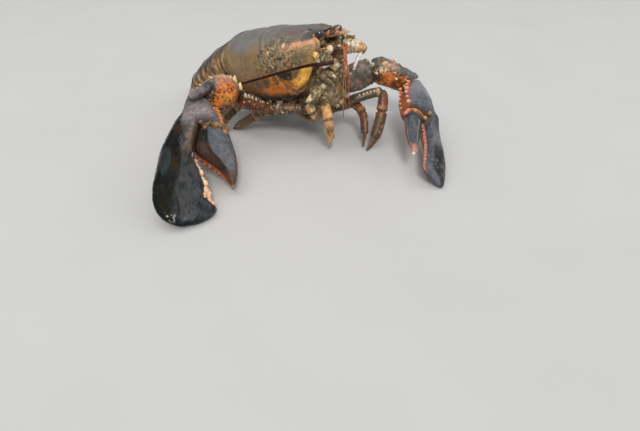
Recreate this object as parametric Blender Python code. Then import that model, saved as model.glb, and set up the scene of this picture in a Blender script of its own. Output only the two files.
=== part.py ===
"""American lobster, life size, standing still with its claws rested on the floor.

Frame: millimetres in the dimensions below, metres in the solids.  +Z is up and the floor
is Z = 0.  The head points to -Y and the animal's right side is -X.  Points are measured from
the floor below the rear edge of the shell; PLACE carries them to the frame's origin, the
middle of the whole animal's footprint.
The trunk is measured in its own axes: forward (along the back, from the rear edge of the
shell), lateral (+ to the animal's left) and up (from the rear edge of the shell).
"""
import math

import bpy
import bmesh
from mathutils import Vector

MM = 0.001
GAP = 0.30                       # clearance between neighbouring solids
PLACE = Vector((63.79, 78.51, 0.0))   # rear edge of the shell, from the middle of the footprint

# ---- trunk ---------------------------------------------------------------------------
REAR_HEIGHT = 93.0               # rear edge of the shell above the floor, on the midline
PITCH = math.radians(17.5)       # the trunk is carried head up
SHELL_LENGTH = 143.0             # rear edge to the eye socket
ROSTRUM_LENGTH = 31.0            # beyond the eye socket
SHELL_SIDES = 28                 # points round a shell section
# forward, half width, crown, underside
TRUNK_STATIONS = (
    (0.0, 38.5, 3.5, -50.0),
    (18.0, 45.0, 8.0, -60.0),
    (45.0, 48.5, 9.0, -68.0),
    (75.0, 49.0, 8.0, -69.0),
    (100.0, 46.5, 5.0, -65.0),
    (122.0, 40.5, 1.5, -58.0),
    (136.0, 31.0, -2.0, -48.0),
    (146.0, 22.0, -4.0, -40.0),
)
WIDEST_HEIGHT = -30.0            # height at which the shell is widest
UPPER_POWER = 2.15               # roundness of the back
LOWER_POWER = 3.0                # squareness of the lower margin

# ---- tail ----------------------------------------------------------------------------
# joints along the back of the tail: (x, y, z), swing to the right (deg), pitch (deg)
TAIL_JOINTS = (
    ((0.0, 1.2, 94.0), 0.0, -17.5),
    ((-4.0, 19.5, 85.5), 9.0, -33.0),
    ((-11.0, 38.5, 71.5), 16.0, -43.0),
    ((-19.0, 56.5, 53.5), 20.0, -51.0),
    ((-26.0, 70.5, 34.0), 21.0, -72.0),
    ((-29.0, 74.0, 13.5), 20.0, -115.0),
    ((-33.0, 57.5, 1.6), 18.0, -160.0),
)
TAIL_HALF_WIDTHS = (37.0, 39.0, 39.5, 38.5, 36.5, 33.0, 29.0)
TAIL_DEPTHS = (29.0, 29.0, 28.0, 27.0, 24.0, 19.0, 14.0)
PLEURON_DROPS = (5.0, 13.0, 14.0, 13.0, 4.0, 1.0)
SWIMMERET_LENGTHS = (8.0, 12.0, 12.0, 8.0, 0.0, 0.0)
SECTION_POINTS = 11              # points over the back of a tail section

TELSON_LENGTH = 54.0
TELSON_HALF_WIDTHS = (15.0, 17.5, 16.0, 12.5)
TELSON_THICKNESS = 3.0
UROPOD_LENGTH = 52.0
UROPOD_HALF_WIDTH = 10.0
UROPOD_THICKNESS = 2.2
# inner and outer blade: root to the side, root ahead, root height, spread (deg), raised edge
UROPODS = dict(
    inner=(20.0, 2.8, 4.0, 9.0, 4.4),
    outer=(28.5, 4.2, 7.0, 20.0, 4.6),
)
FAN_HEADING = math.radians(18.0)

# ---- claws ---------------------------------------------------------------------------
# along the claw, outer edge, inner edge, half thickness, slant of the section
CRUSHER_ORIGIN = Vector((-110.9, -44.8, 61.5))
CRUSHER_ALONG = Vector((-0.642, -0.684, -0.348))
CRUSHER_ACROSS = Vector((0.767, -0.585, -0.265))
CRUSHER_PALM = (
    (6.0, -14.0, 15.0, 11.5, 0.90),
    (24.0, -20.0, 23.0, 17.5, 0.45),
    (38.0, -24.0, 26.0, 24.0, 0.15),
    (48.0, -30.5, 24.5, 27.0, 0.0),
    (50.5, -31.5, -4.5, 26.5, 0.0),
    (72.0, -39.0, -10.5, 26.0, 0.0),
    (90.0, -44.5, -12.5, 23.0, 0.0),
    (108.0, -46.5, -4.5, 20.5, 0.0),
    (132.0, -49.5, 5.0, 15.5, 0.0),
    (146.0, -48.5, 8.0, 12.0, 0.0),
    (151.0, -47.8, 17.0, 10.5, 0.0),
    (162.0, -44.0, 10.0, 8.0, 0.0),
    (170.0, -37.0, -1.0, 5.5, 0.0),
    (175.5, -27.0, -15.0, 2.5, 0.0),
)
CRUSHER_DACTYL = (
    (51.0, -3.2, 24.0, 14.0, 0.0),
    (62.0, -2.0, 31.5, 17.5, 0.0),
    (80.0, 1.0, 36.5, 16.0, 0.0),
    (93.0, 8.0, 38.0, 12.5, 0.0),
    (104.0, 17.5, 38.3, 9.5, 0.0),
    (114.0, 25.5, 36.5, 6.0, 0.0),
    (122.5, 31.0, 34.0, 2.0, 0.0),
)
CUTTER_ORIGIN = Vector((111.5, -189.4, 51.6))
CUTTER_ALONG = Vector((-0.690, -0.669, -0.276))
CUTTER_ACROSS = Vector((-0.68, 0.47, 0.56))
CUTTER_PALM = (
    (5.0, -9.0, 12.0, 9.0, 0.90),
    (24.0, -15.0, 22.0, 13.5, 0.40),
    (44.0, -20.0, 27.5, 17.0, 0.15),
    (68.0, -20.5, 28.0, 17.0, 0.0),
    (70.5, -20.8, -0.5, 16.5, 0.0),
    (90.0, -22.0, -3.5, 13.0, 0.0),
    (115.0, -23.5, -4.5, 10.5, 0.0),
    (138.0, -20.0, -3.0, 8.5, 0.0),
    (158.0, -12.0, 1.0, 5.5, 0.0),
    (172.0, -3.5, 2.0, 2.0, 0.0),
)
CUTTER_HINGE = (74.0, 13.8)
CUTTER_OPENING = math.radians(12.0)
CUTTER_DACTYL = (
    (0.0, -11.8, 13.5, 11.0, -0.21),
    (14.0, -11.0, 13.0, 12.0, 0.0),
    (34.0, -8.5, 10.5, 9.5, 0.0),
    (54.0, -5.0, 7.0, 6.0, 0.0),
    (70.0, -1.2, 1.8, 1.8, 0.0),
)
CLAW_SIDES = 16

# ---- arms: joint positions -------------------------------------------------------------
ARM_RIGHT = dict(
    coxa=Vector((-17.0, -121.0, 55.5)),
    basis=Vector((-26.0, -130.0, 48.5)),
    turn=Vector((-31.0, -127.0, 45.0)),
    ischium=Vector((-51.0, -98.5, 47.0)),
    merus=Vector((-84.0, -77.5, 63.5)),
    carpus=Vector((-94.8, -61.6, 69.5)),
)
ARM_LEFT = dict(
    coxa=Vector((17.0, -121.0, 55.5)),
    basis=Vector((25.0, -129.0, 50.0)),
    turn=Vector((32.0, -131.0, 49.0)),
    ischium=Vector((43.0, -133.5, 51.5)),
    merus=Vector((79.0, -154.0, 62.5)),
    carpus=Vector((89.0, -167.0, 64.5)),
)
ISCHIUM_RADII = (7.5, 7.8, 7.8, 8.0)
MERUS_RADII = ((7.6, 8.2), (9.5, 12.0), (10.5, 12.0))
CARPUS_RADII = (11.5, 18.2, 13.0)
HOOD_RADIUS = 6.0

# ---- walking legs: hip, one or two points along the thigh, knee, ankle and tip -------------
COXA_FORWARDS = (92.0, 74.0, 56.0, 38.0)
COXA_LATERAL = 19.0
LEGS = dict(
    r2=((-16.0, -114.0, 34.0), (-18.0, -131.0, 29.0), (-21.0, -148.0, 43.0),
        (-23.0, -156.0, 54.5), (-35.0, -171.0, 47.5), (-18.0, -164.0, 0.0)),
    r3=((-26.0, -95.0, 33.0), (-38.0, -90.0, 33.0),
        (-51.0, -82.0, 34.0), (-55.0, -71.0, 25.0), (-64.0, -40.0, 0.0)),
    r4=((-26.0, -77.0, 28.0), (-38.0, -68.0, 33.0),
        (-54.0, -54.0, 38.0), (-63.0, -44.0, 29.0), (-77.0, -27.0, 0.0)),
    r5=((-26.0, -58.0, 26.0), (-39.0, -45.0, 32.0),
        (-56.0, -28.0, 38.0), (-67.0, -19.0, 28.0), (-80.0, -10.0, 0.0)),
    l2=((19.5, -115.0, 31.0), (20.0, -131.0, 28.0), (22.0, -152.0, 41.0),
        (26.0, -167.0, 52.0), (48.0, -186.5, 57.0), (40.0, -197.5, 38.0), (-3.0, -198.0, 0.0)),
    l3=((27.0, -103.0, 29.0), (35.0, -123.0, 22.5), (39.0, -143.0, 31.0),
        (33.5, -159.0, 41.0), (28.0, -178.0, 35.0), (21.0, -186.0, 0.0)),
    l4=((26.0, -77.0, 28.0), (38.0, -75.0, 34.0),
        (52.0, -72.0, 42.0), (60.0, -66.0, 31.0), (34.0, -60.0, 0.0)),
    l5=((26.0, -58.0, 26.0), (38.0, -48.0, 32.0),
        (52.0, -38.0, 40.0), (60.0, -30.0, 29.0), (46.0, -24.0, 0.0)),
)
LEG_RADIUS = dict(coxa=6.6, merus=6.3, knee=5.8, ankle=5.6, propodus=5.6, tip=1.3)
LEG_SIDES = 8

# ---- head ------------------------------------------------------------------------------------
MAXILLIPEDS = dict(
    r=((-7.5, -136.0, 66.0), (-22.0, -142.0, 67.5), (-38.0, -146.0, 60.0), (-38.5, -151.0, 50.0),
       (-31.0, -150.0, 40.0)),
    l=((7.5, -136.0, 66.0), (15.0, -144.0, 67.0), (21.0, -153.0, 63.0), (16.0, -159.0, 56.0),
       (10.0, -157.0, 49.0)),
)
EYE_CENTRE = (146.0, 15.5, -5.5)
EYE_RADIUS = 5.4
PEDUNCLE = ((144.3, 21.0, -28.0), (150.0, 23.5, -27.0), (163.0, 26.0, -28.5))
FLAGELLUM_RIGHT = (
    (-28.0, -168.8, 112.8), (-36.5, -162.0, 111.0), (-42.0, -146.5, 107.0), (-48.5, -124.0, 97.5),
    (-56.5, -98.0, 85.5),
    (-67.0, -72.5, 74.0), (-79.0, -48.0, 62.0), (-92.0, -25.0, 42.0), (-112.0, -25.0, 22.0),
    (-135.0, -48.0, 9.0), (-158.0, -78.0, 4.5), (-180.0, -108.0, 3.0),
)
FLAGELLUM_LEFT = (
    (28.0, -168.8, 112.8), (40.0, -167.0, 108.0), (56.0, -152.0, 102.0), (63.0, -110.0, 92.0),
    (66.0, -60.0, 78.0), (66.0, 0.0, 55.0), (58.0, 60.0, 28.0), (44.0, 112.0, 9.0), (36.0, 150.0, 3.5),
)
FLAGELLUM_RADII = (2.3, 0.6)
# side, branch, lateral place at the root and at the tip, length of the drop
ANTENNULES = (
    ("r", "outer", -5.0, 4.0, 88.0),
    ("r", "inner", -2.3, 7.5, 74.0),
    ("l", "inner", 2.3, 10.5, 66.0),
    ("l", "outer", 5.0, 14.0, 79.0),
)

MATERIALS = {}


# ---- scene and materials -----------------------------------------------------------------
def clear_scene():
    """Remove every object the file opened with."""
    for obj in list(bpy.data.objects):
        bpy.data.objects.remove(obj, do_unlink=True)


def material(slot, colour, roughness):
    """Return the Principled material of a slot, made once."""
    if slot not in MATERIALS:
        mat = bpy.data.materials.new(slot)
        mat.use_nodes = True
        shader = mat.node_tree.nodes["Principled BSDF"]
        shader.inputs["Base Color"].default_value = (*colour, 1.0)
        shader.inputs["Roughness"].default_value = roughness
        shader.inputs["Metallic"].default_value = 0.0
        MATERIALS[slot] = mat
    return MATERIALS[slot]


def shell_dark():
    return material("shell_dark", (0.075, 0.070, 0.062), 0.30)


def shell_olive():
    return material("shell_olive", (0.20, 0.13, 0.06), 0.38)


def shell_orange():
    return material("shell_orange", (0.55, 0.16, 0.03), 0.34)


def claw_blue():
    return material("claw_blue", (0.070, 0.085, 0.105), 0.26)


def feeler_red():
    return material("feeler_red", (0.30, 0.04, 0.025), 0.40)


def eye_black():
    return material("eye_black", (0.008, 0.008, 0.010), 0.10)


def belly_tan():
    return material("belly_tan", (0.42, 0.27, 0.14), 0.45)


# ---- mesh building -----------------------------------------------------------------------
def finish_mesh(name, bm, mat, collection, smooth=True):
    """Turn a closed bmesh (in millimetres) into a named node with outward faces."""
    bmesh.ops.recalc_face_normals(bm, faces=bm.faces[:])
    bmesh.ops.scale(bm, vec=(MM, MM, MM), verts=bm.verts[:])
    mesh = bpy.data.meshes.new(name)
    bm.to_mesh(mesh)
    bm.free()
    mesh.materials.append(mat)
    obj = bpy.data.objects.new(name, mesh)
    obj.location = PLACE * MM
    collection.objects.link(obj)
    for poly in mesh.polygons:
        poly.use_smooth = smooth
    return obj


def ring_loft(rings, centres=None):
    """Skin a list of equal rings into a closed bmesh, each end closed by a fan."""
    bm = bmesh.new()
    rows = [[bm.verts.new(p) for p in ring] for ring in rings]
    count = len(rows[0])
    for row, following in zip(rows, rows[1:]):
        for i in range(count):
            j = (i + 1) % count
            bm.faces.new((row[i], row[j], following[j], following[i]))
    ends = (rows[0], rows[-1])
    for k, row in enumerate(ends):
        middle = sum((v.co for v in row), Vector()) / count
        if centres and centres[k] is not None:
            middle = centres[k]
        hub = bm.verts.new(middle)
        for i in range(count):
            bm.faces.new((row[i], row[(i + 1) % count], hub))
    return bm


def strip_loft(sections):
    """Skin sections of (outer path, inner path) pairs; each end is closed by a strip."""
    bm = bmesh.new()
    rows = []
    for outer, inner in sections:
        rows.append(([bm.verts.new(p) for p in outer], [bm.verts.new(p) for p in inner]))
    count = len(rows[0][0])
    for (out_a, in_a), (out_b, in_b) in zip(rows, rows[1:]):
        for i in range(count - 1):
            bm.faces.new((out_a[i], out_a[i + 1], out_b[i + 1], out_b[i]))
            bm.faces.new((in_a[i + 1], in_a[i], in_b[i], in_b[i + 1]))
        bm.faces.new((in_a[0], out_a[0], out_b[0], in_b[0]))
        bm.faces.new((out_a[-1], in_a[-1], in_b[-1], out_b[-1]))
    for out_row, in_row in (rows[0], rows[-1]):
        for i in range(count - 1):
            bm.faces.new((out_row[i], out_row[i + 1], in_row[i + 1], in_row[i]))
    return bm


def settle(rings):
    """Flatten whatever would pass below the floor into a small flat on it."""
    return [[Vector((p.x, p.y, max(p.z, 0.0))) for p in ring] for ring in rings]


def unite(target, tool):
    """Join a tool solid to a target solid with an exact union and drop the tool."""
    mod = target.modifiers.new("join", "BOOLEAN")
    mod.operation = "UNION"
    mod.solver = "EXACT"
    mod.object = tool
    bpy.context.view_layer.update()
    graph = bpy.context.evaluated_depsgraph_get()
    mesh = bpy.data.meshes.new_from_object(target.evaluated_get(graph))
    bm = bmesh.new()
    bm.from_mesh(mesh)
    bmesh.ops.remove_doubles(bm, verts=bm.verts[:], dist=0.00002)
    bmesh.ops.dissolve_degenerate(bm, edges=bm.edges[:], dist=0.00002)
    bmesh.ops.triangulate(bm, faces=bm.faces[:])
    bm.to_mesh(mesh)
    bm.free()
    target.modifiers.remove(mod)
    old = target.data
    mesh.name = target.name
    target.data = mesh
    bpy.data.meshes.remove(old)
    bpy.data.objects.remove(tool, do_unlink=True)
    return target


# ---- curves through stations -----------------------------------------------------------------
def blend(table, at):
    """Smoothly interpolate the columns of a station table at a value of its first column."""
    if at <= table[0][0]:
        return table[0][1:]
    if at >= table[-1][0]:
        return table[-1][1:]
    for k in range(len(table) - 1):
        a, b = table[k], table[k + 1]
        if a[0] <= at <= b[0]:
            before = table[max(k - 1, 0)]
            after = table[min(k + 2, len(table) - 1)]
            span = b[0] - a[0]
            v = (at - a[0]) / span
            out = []
            for c in range(1, len(a)):
                m0 = (b[c] - before[c]) / max(b[0] - before[0], 1e-6) * span
                m1 = (after[c] - a[c]) / max(after[0] - a[0], 1e-6) * span
                out.append((2 * v**3 - 3 * v**2 + 1) * a[c] + (v**3 - 2 * v**2 + v) * m0
                           + (3 * v**2 - 2 * v**3) * b[c] + (v**3 - v**2) * m1)
            return tuple(out)
    return table[-1][1:]


def curve_through(points, steps):
    """Points along a smooth curve through the given points, steps to each span."""
    table = [(float(i), *p) for i, p in enumerate(points)]
    total = (len(points) - 1) * steps
    return [Vector(blend(table, i / steps)) for i in range(total + 1)]


def superellipse(angle, power):
    """Unit superellipse point (across, up) at an angle."""
    c, s = math.cos(angle), math.sin(angle)
    across = math.copysign(abs(c) ** (2.0 / power), c)
    up = math.copysign(abs(s) ** (2.0 / power), s)
    return across, up


# ---- the trunk --------------------------------------------------------------------------------
def trunk_point(forward, lateral, up):
    """World point of a trunk measure."""
    c, s = math.cos(PITCH), math.sin(PITCH)
    return Vector((lateral, -(forward * c - up * s), REAR_HEIGHT + forward * s + up * c))


def shell_section(forward, angle):
    """(lateral, up) of the shell at a station; angle 90 deg is the top of the back."""
    half, crown, bottom = blend(TRUNK_STATIONS, forward)
    middle = max(WIDEST_HEIGHT, (crown + bottom) * 0.5 - 1.0)
    if math.sin(angle) >= 0.0:
        x, u = superellipse(angle, UPPER_POWER)
        return half * x, middle + (crown - middle) * u
    x, u = superellipse(angle, LOWER_POWER)
    return half * x, middle + (middle - bottom) * u


def front_edge(angle):
    """Forward place of the shell's front edge round the section."""
    low = max(0.0, -math.sin(angle))
    side = abs(math.cos(angle))
    notch = 6.0 * math.exp(-((side - 0.55) / 0.2) ** 2) if math.sin(angle) > 0.0 else 0.0
    return SHELL_LENGTH - 3.0 * side - 25.0 * low ** 1.3 - notch


def groove_edge(angle):
    """Forward place of the cervical groove, which runs forward down the sides."""
    drop = 0.5 * (1.0 - math.sin(angle))
    return 57.0 + 56.0 * drop ** 0.75


def rear_edge(angle):
    """Forward place of the shell's rear edge: square on top, cut forward below."""
    low = max(0.0, -math.sin(angle))
    return 9.0 * low ** 2.0


def shell_ring(edge_a, edge_b, share):
    """A shell ring part way between two edge lines."""
    ring = []
    for i in range(SHELL_SIDES):
        angle = 2.0 * math.pi * i / SHELL_SIDES + math.pi / 2.0
        forward = edge_a(angle) + (edge_b(angle) - edge_a(angle)) * share
        lateral, up = shell_section(forward, angle)
        ring.append(trunk_point(forward, lateral, up))
    return ring


def shifted(edge, offset):
    """An edge line moved along the trunk."""
    return lambda angle: edge(angle) + offset


def build_shell(collection):
    """The two plates of the back shell, parted at the cervical groove, and the rostrum."""
    steps = 8
    rear = [shell_ring(rear_edge, shifted(groove_edge, -GAP / 2), k / steps) for k in range(steps + 1)]
    hubs = (trunk_point(3.0, 0.0, -26.0), trunk_point(88.0 - GAP / 2, 0.0, -28.0))
    finish_mesh("thorax_shell", ring_loft(rear, hubs), shell_dark(), collection)

    front = [shell_ring(shifted(groove_edge, GAP / 2), front_edge, k / steps) for k in range(steps + 1)]
    hubs = (trunk_point(88.0 + GAP / 2, 0.0, -28.0), trunk_point(FACE_FORWARD, 0.0, FACE_UP))
    head = finish_mesh("head_shell", ring_loft(front, hubs), shell_dark(), collection)
    beak = finish_mesh("rostrum_tool", rostrum_mesh(), shell_dark(), collection)
    unite(head, beak)


FACE_FORWARD = 130.0             # the hollow face behind the eyes
FACE_UP = -26.0


def rostrum_mesh():
    """The spine over the eyes: a flat-bottomed beak from the front of the shell."""
    root = SHELL_LENGTH - 16.0
    length = ROSTRUM_LENGTH + 16.0
    rings = []
    for k in range(6):
        share = k / 5.0
        forward = root + length * share
        half = 10.5 * (1.0 - share) ** 0.8 + 1.6
        crown = blend(TRUNK_STATIONS, forward)[1]
        high = crown - 0.5 - 7.5 * share ** 1.5
        thick = 7.5 * (1.0 - share) + 2.2
        rings.append([trunk_point(forward, half * math.cos(a), high - thick * 0.5 * (1.0 - math.sin(a)))
                      for a in (math.pi / 2 + 2 * math.pi * i / 8 for i in range(8))])
    return ring_loft(rings)


def build_sternum(collection):
    """The keel of plates between the roots of the legs."""
    rings = []
    for k in range(7):
        forward = 20.0 + 92.0 * k / 6.0
        top = blend(TRUNK_STATIONS, forward)[2] - GAP - 0.2
        half = 12.0 - 4.0 * k / 6.0
        deep = 8.5
        profile = ((half, 0.0), (half, -deep * 0.6), (half * 0.45, -deep), (-half * 0.45, -deep),
                   (-half, -deep * 0.6), (-half, 0.0), (0.0, 0.0))
        rings.append([trunk_point(forward, x, top + u) for x, u in profile])
    finish_mesh("sternum", ring_loft(rings), belly_tan(), collection)


# ---- the tail -----------------------------------------------------------------------------------
def tail_frame(index):
    """Origin, across, ventral and backward directions at a joint of the tail."""
    origin, swing, pitch = TAIL_JOINTS[index]
    swing, pitch = math.radians(swing), math.radians(pitch)
    back = Vector((-math.sin(swing) * math.cos(pitch), math.cos(swing) * math.cos(pitch), math.sin(pitch)))
    across = Vector((math.cos(swing), math.sin(swing), 0.0))
    ventral = back.cross(across).normalized()
    return Vector(origin), across, ventral, back


def tail_section(index, share, shift, swell, drop):
    """Outer and inner path of a tail section between two joints."""
    o_a, x_a, v_a, b_a = tail_frame(index)
    o_b, x_b, v_b, b_b = tail_frame(index + 1)
    half = (TAIL_HALF_WIDTHS[index] * (1 - share) + TAIL_HALF_WIDTHS[index + 1] * share) * swell
    deep = TAIL_DEPTHS[index] * (1 - share) + TAIL_DEPTHS[index + 1] * share
    outer, inner = [], []
    for i in range(SECTION_POINTS):
        angle = math.pi * i / (SECTION_POINTS - 1)
        x = math.cos(angle) * half
        rise = math.sin(angle) ** 0.85
        low = deep * (1.0 - rise)
        if i in (0, SECTION_POINTS - 1):
            low = deep + drop
            x = x * 0.97
        flat = max(-0.88, min(0.88, math.cos(angle) * 1.0)) * half
        base = deep + (drop - 1.2 if i in (0, SECTION_POINTS - 1) else 0.0)
        if i in (0, SECTION_POINTS - 1):
            flat = math.copysign(half * 0.90, x)
        outer.append((x, low - (swell - 1.0) * half * rise))
        inner.append((flat, base if i in (0, SECTION_POINTS - 1) else deep + 0.3))
    paths = []
    for path in (outer, inner):
        world = []
        for x, d in path:
            p_a = o_a + x_a * x + v_a * d + b_a * shift
            p_b = o_b + x_b * x + v_b * d + b_b * shift
            point = p_a.lerp(p_b, share)
            world.append(Vector((point.x, point.y, max(point.z, 0.0))))
        paths.append(world)
    return tuple(paths)


def swimmeret(index, sign):
    """A thin paddle rooted in the underside of a tail ring."""
    o_a, x_a, v_a, b_a = tail_frame(index)
    o_b, x_b, v_b, b_b = tail_frame(index + 1)
    pairs = ((o_a, o_b), (x_a, x_b), (v_a, v_b), (b_a, b_b))
    origin, across, ventral, back = (p.lerp(q, 0.5) for p, q in pairs)
    deep = (TAIL_DEPTHS[index] + TAIL_DEPTHS[index + 1]) * 0.5
    length = SWIMMERET_LENGTHS[index]
    root = origin + across * (sign * 18.0)
    path = [root + ventral * (deep - 3.0), root + ventral * (deep + length * 0.5),
            root + ventral * (deep + length)]
    return ring_loft(tube_rings(path, [(2.4, 1.3), (5.0, 1.0), (2.6, 0.6)], 6, back))


def build_tail(collection):
    """Six rings of the tail, telson and the four blades of the fan."""
    for k in range(6):
        drop = PLEURON_DROPS[k]
        sections = [
            tail_section(k, 0.0, GAP / 2, 0.985, drop * 0.25),
            tail_section(k, 0.30, 0.0, 1.0, drop * 0.85),
            tail_section(k, 0.62, 0.0, 1.012, drop),
            tail_section(k, 1.0, -GAP / 2, 1.0, drop * 0.25),
        ]
        segment = finish_mesh(f"abdomen_{k + 1}", strip_loft(sections), shell_olive(), collection)
        if SWIMMERET_LENGTHS[k] > 0.0:
            for sign in (-1.0, 1.0):
                paddle = finish_mesh("swimmeret_tool", swimmeret(k, sign), shell_olive(), collection)
                segment = unite(segment, paddle)
    build_fan(collection)


def fan_blade(name, start, heading, length, halves, thickness, rises, collection, lean=0.0):
    """A flat blade on the floor along a straight axis.

    rises lifts the root end; lean lifts one edge, its sign telling which.
    """
    along = Vector((math.sin(heading), -math.cos(heading), 0.0))
    across = Vector((along.y, -along.x, 0.0))
    rings = []
    count = len(halves)
    for k, half in enumerate(halves):
        share = k / (count - 1)
        centre = start + along * (length * share)
        thick = thickness * (1.0 - 0.42 * share)
        lift = rises[0] * max(0.0, 1.0 - share / rises[1]) ** 1.5
        tilt = abs(lean) * (1.0 - 0.25 * share)
        ring = []
        for i in range(10):
            x, u = superellipse(2.0 * math.pi * i / 10, 2.6)
            edge = tilt * 0.5 * (1.0 + x * math.copysign(1.0, lean))
            ring.append(Vector((centre.x, centre.y, 0.0)) + across * (half * x)
                        + Vector((0.0, 0.0, lift + edge - 0.3 + (thick + 0.3) * 0.5 * (1.0 + u))))
        rings.append(ring)
    finish_mesh(name, ring_loft(settle(rings)), shell_olive(), collection)


def build_fan(collection):
    """Telson and uropods, tucked forward under the tail and resting on the floor.

    The blades lie like shingles: the inner pair over the telson, the outer pair over the inner.
    """
    origin = tail_frame(6)[0]
    along = Vector((math.sin(FAN_HEADING), -math.cos(FAN_HEADING), 0.0))
    side = Vector((math.cos(FAN_HEADING), math.sin(FAN_HEADING), 0.0))
    ground = Vector((origin.x, origin.y, 0.0))
    fan_blade("telson", ground + along * 1.6, FAN_HEADING, TELSON_LENGTH, TELSON_HALF_WIDTHS,
              TELSON_THICKNESS, (0.8, 0.5), collection)
    halves = [UROPOD_HALF_WIDTH * f for f in (0.42, 0.80, 1.0, 0.95, 0.62)]
    for sign, tag in ((-1, "r"), (1, "l")):
        for label, (aside, ahead, height, spread_angle, edge) in UROPODS.items():
            turn = FAN_HEADING + sign * math.radians(spread_angle)
            begin = ground + side * (sign * aside) + along * ahead
            fan_blade(f"uropod_{label}_{tag}", begin, turn, UROPOD_LENGTH, halves, UROPOD_THICKNESS,
                      (height, 0.55), collection, lean=sign * edge)


# ---- limbs -------------------------------------------------------------------------------------
def tube_rings(path, radii, sides, hint, start_normal=None, end_normal=None, shift=(0.0, 0.0), power=2.0,
               carried=False):
    """Rings of an elliptical tube.

    radii are (across, high) pairs; hint fixes 'high', afresh at each ring or carried along.
    """
    rings = []
    last = len(path) - 1
    for k, point in enumerate(path):
        tangent = (path[min(k + 1, last)] - path[max(k - 1, 0)]).normalized()
        high = (hint - tangent * hint.dot(tangent)).normalized()
        hint = high if carried else hint
        across = tangent.cross(high).normalized()
        wide, tall = radii[k]
        normal, move = None, 0.0
        if k == 0 and start_normal is not None:
            normal, move = start_normal.normalized(), shift[0]
        if k == last and end_normal is not None:
            normal, move = end_normal.normalized(), shift[1]
        ring = []
        for i in range(sides):
            angle = 2.0 * math.pi * i / sides
            x, u = superellipse(angle, power)
            p = point + across * (wide * x) + high * (tall * u)
            if normal is not None:
                away = (p - point).dot(normal)
                p = p - tangent * (away / tangent.dot(normal)) + normal * move
            ring.append(p)
        rings.append(ring)
    return rings


def hold_back(rings, normal, spacing):
    """Keep every ring of a tube behind the plane its last ring lies in."""
    normal = normal.normalized()
    limit = sum(p.dot(normal) for p in rings[-1]) / len(rings[-1])
    for back, ring in enumerate(reversed(rings[:-1]), start=1):
        for i, p in enumerate(ring):
            beyond = p.dot(normal) - (limit - spacing * back)
            if beyond > 0.0:
                ring[i] = p - normal * beyond


def spread(values, count):
    """Smoothly resample a short list of numbers or pairs to a count of values."""
    pairs = [v if isinstance(v, tuple) else (v, v) for v in values]
    table = [(float(i), *v) for i, v in enumerate(pairs)]
    return [tuple(blend(table, (len(values) - 1) * k / (count - 1))) for k in range(count)]


def build_leg(tag, forward, side, joints, collection):
    """A walking leg: coxa under the shell, long merus, short carpus, propodus and dactyl."""
    sign = -1.0 if side == "r" else 1.0
    size = LEG_RADIUS
    low = blend(TRUNK_STATIONS, forward)[2] - GAP - 7.8
    root = trunk_point(forward, sign * COXA_LATERAL, low)
    joints = [Vector(p) for p in joints]
    ankle, tip = joints[-2], joints[-1]
    finger = ankle.lerp(tip, 0.5) + (ankle - joints[-3]).normalized() * 4.0
    thigh = joints[:-3]
    knots = [root, *thigh, joints[-3], ankle, finger, tip]
    widths = [size["coxa"], *([size["merus"] * 0.9] + [size["merus"]] * (len(thigh) - 1)), size["knee"],
              size["ankle"], size["propodus"] * 0.9, size["tip"]]
    path = curve_through(knots, 2)
    pairs = [(r * 0.80, r) for r, _ in spread(widths, len(path))]
    rings = tube_rings(path, pairs, LEG_SIDES, Vector((0.15, 0.1, 1.0)), carried=True)
    foot = [Vector((tip.x + size["tip"] * math.cos(a), tip.y + size["tip"] * math.sin(a), 0.0))
            for a in (2.0 * math.pi * i / LEG_SIDES for i in range(LEG_SIDES))]
    rings[-1] = best_turn(rings[-2], foot)
    finish_mesh(f"leg_{side}_{tag}", ring_loft(settle(rings)), shell_olive(), collection)


def best_turn(ring, target):
    """Turn (and if need be reverse) a target ring so it lies nearest to another ring."""
    count = len(ring)
    middle_a = sum(ring, Vector()) / count
    middle_b = sum(target, Vector()) / count
    best = None
    for order in (target, target[::-1]):
        for shift in range(count):
            turned = order[shift:] + order[:shift]
            cost = sum(((a - middle_a) - (b - middle_b)).length for a, b in zip(ring, turned))
            if best is None or cost < best[0]:
                best = (cost, turned)
    return best[1]


def plate_rings(origin, along, across, stations, power=2.3):
    """Rings of a claw part from (along, low edge, high edge, half thickness, slant) stations."""
    along = along.normalized()
    across = (across - along * across.dot(along)).normalized()
    normal = along.cross(across).normalized()
    rings = []
    for s, low, high, half, slant in stations:
        middle, reach = (low + high) * 0.5, (high - low) * 0.5
        ring = []
        for i in range(CLAW_SIDES):
            x, u = superellipse(2.0 * math.pi * i / CLAW_SIDES, power)
            t = middle + reach * x
            ring.append(origin + along * (s + slant * t) + across * t + normal * (half * u))
        rings.append(ring)
    return rings


def claw_joint(origin, along, across, station):
    """Middle and direction of the slanted wrist plane of a claw."""
    along = along.normalized()
    across = (across - along * across.dot(along)).normalized()
    s, low, high, half, slant = station
    middle = (low + high) * 0.5
    centre = origin + along * (s + slant * middle) + across * middle
    direction = (along - across * slant).normalized()
    return centre, direction


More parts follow.
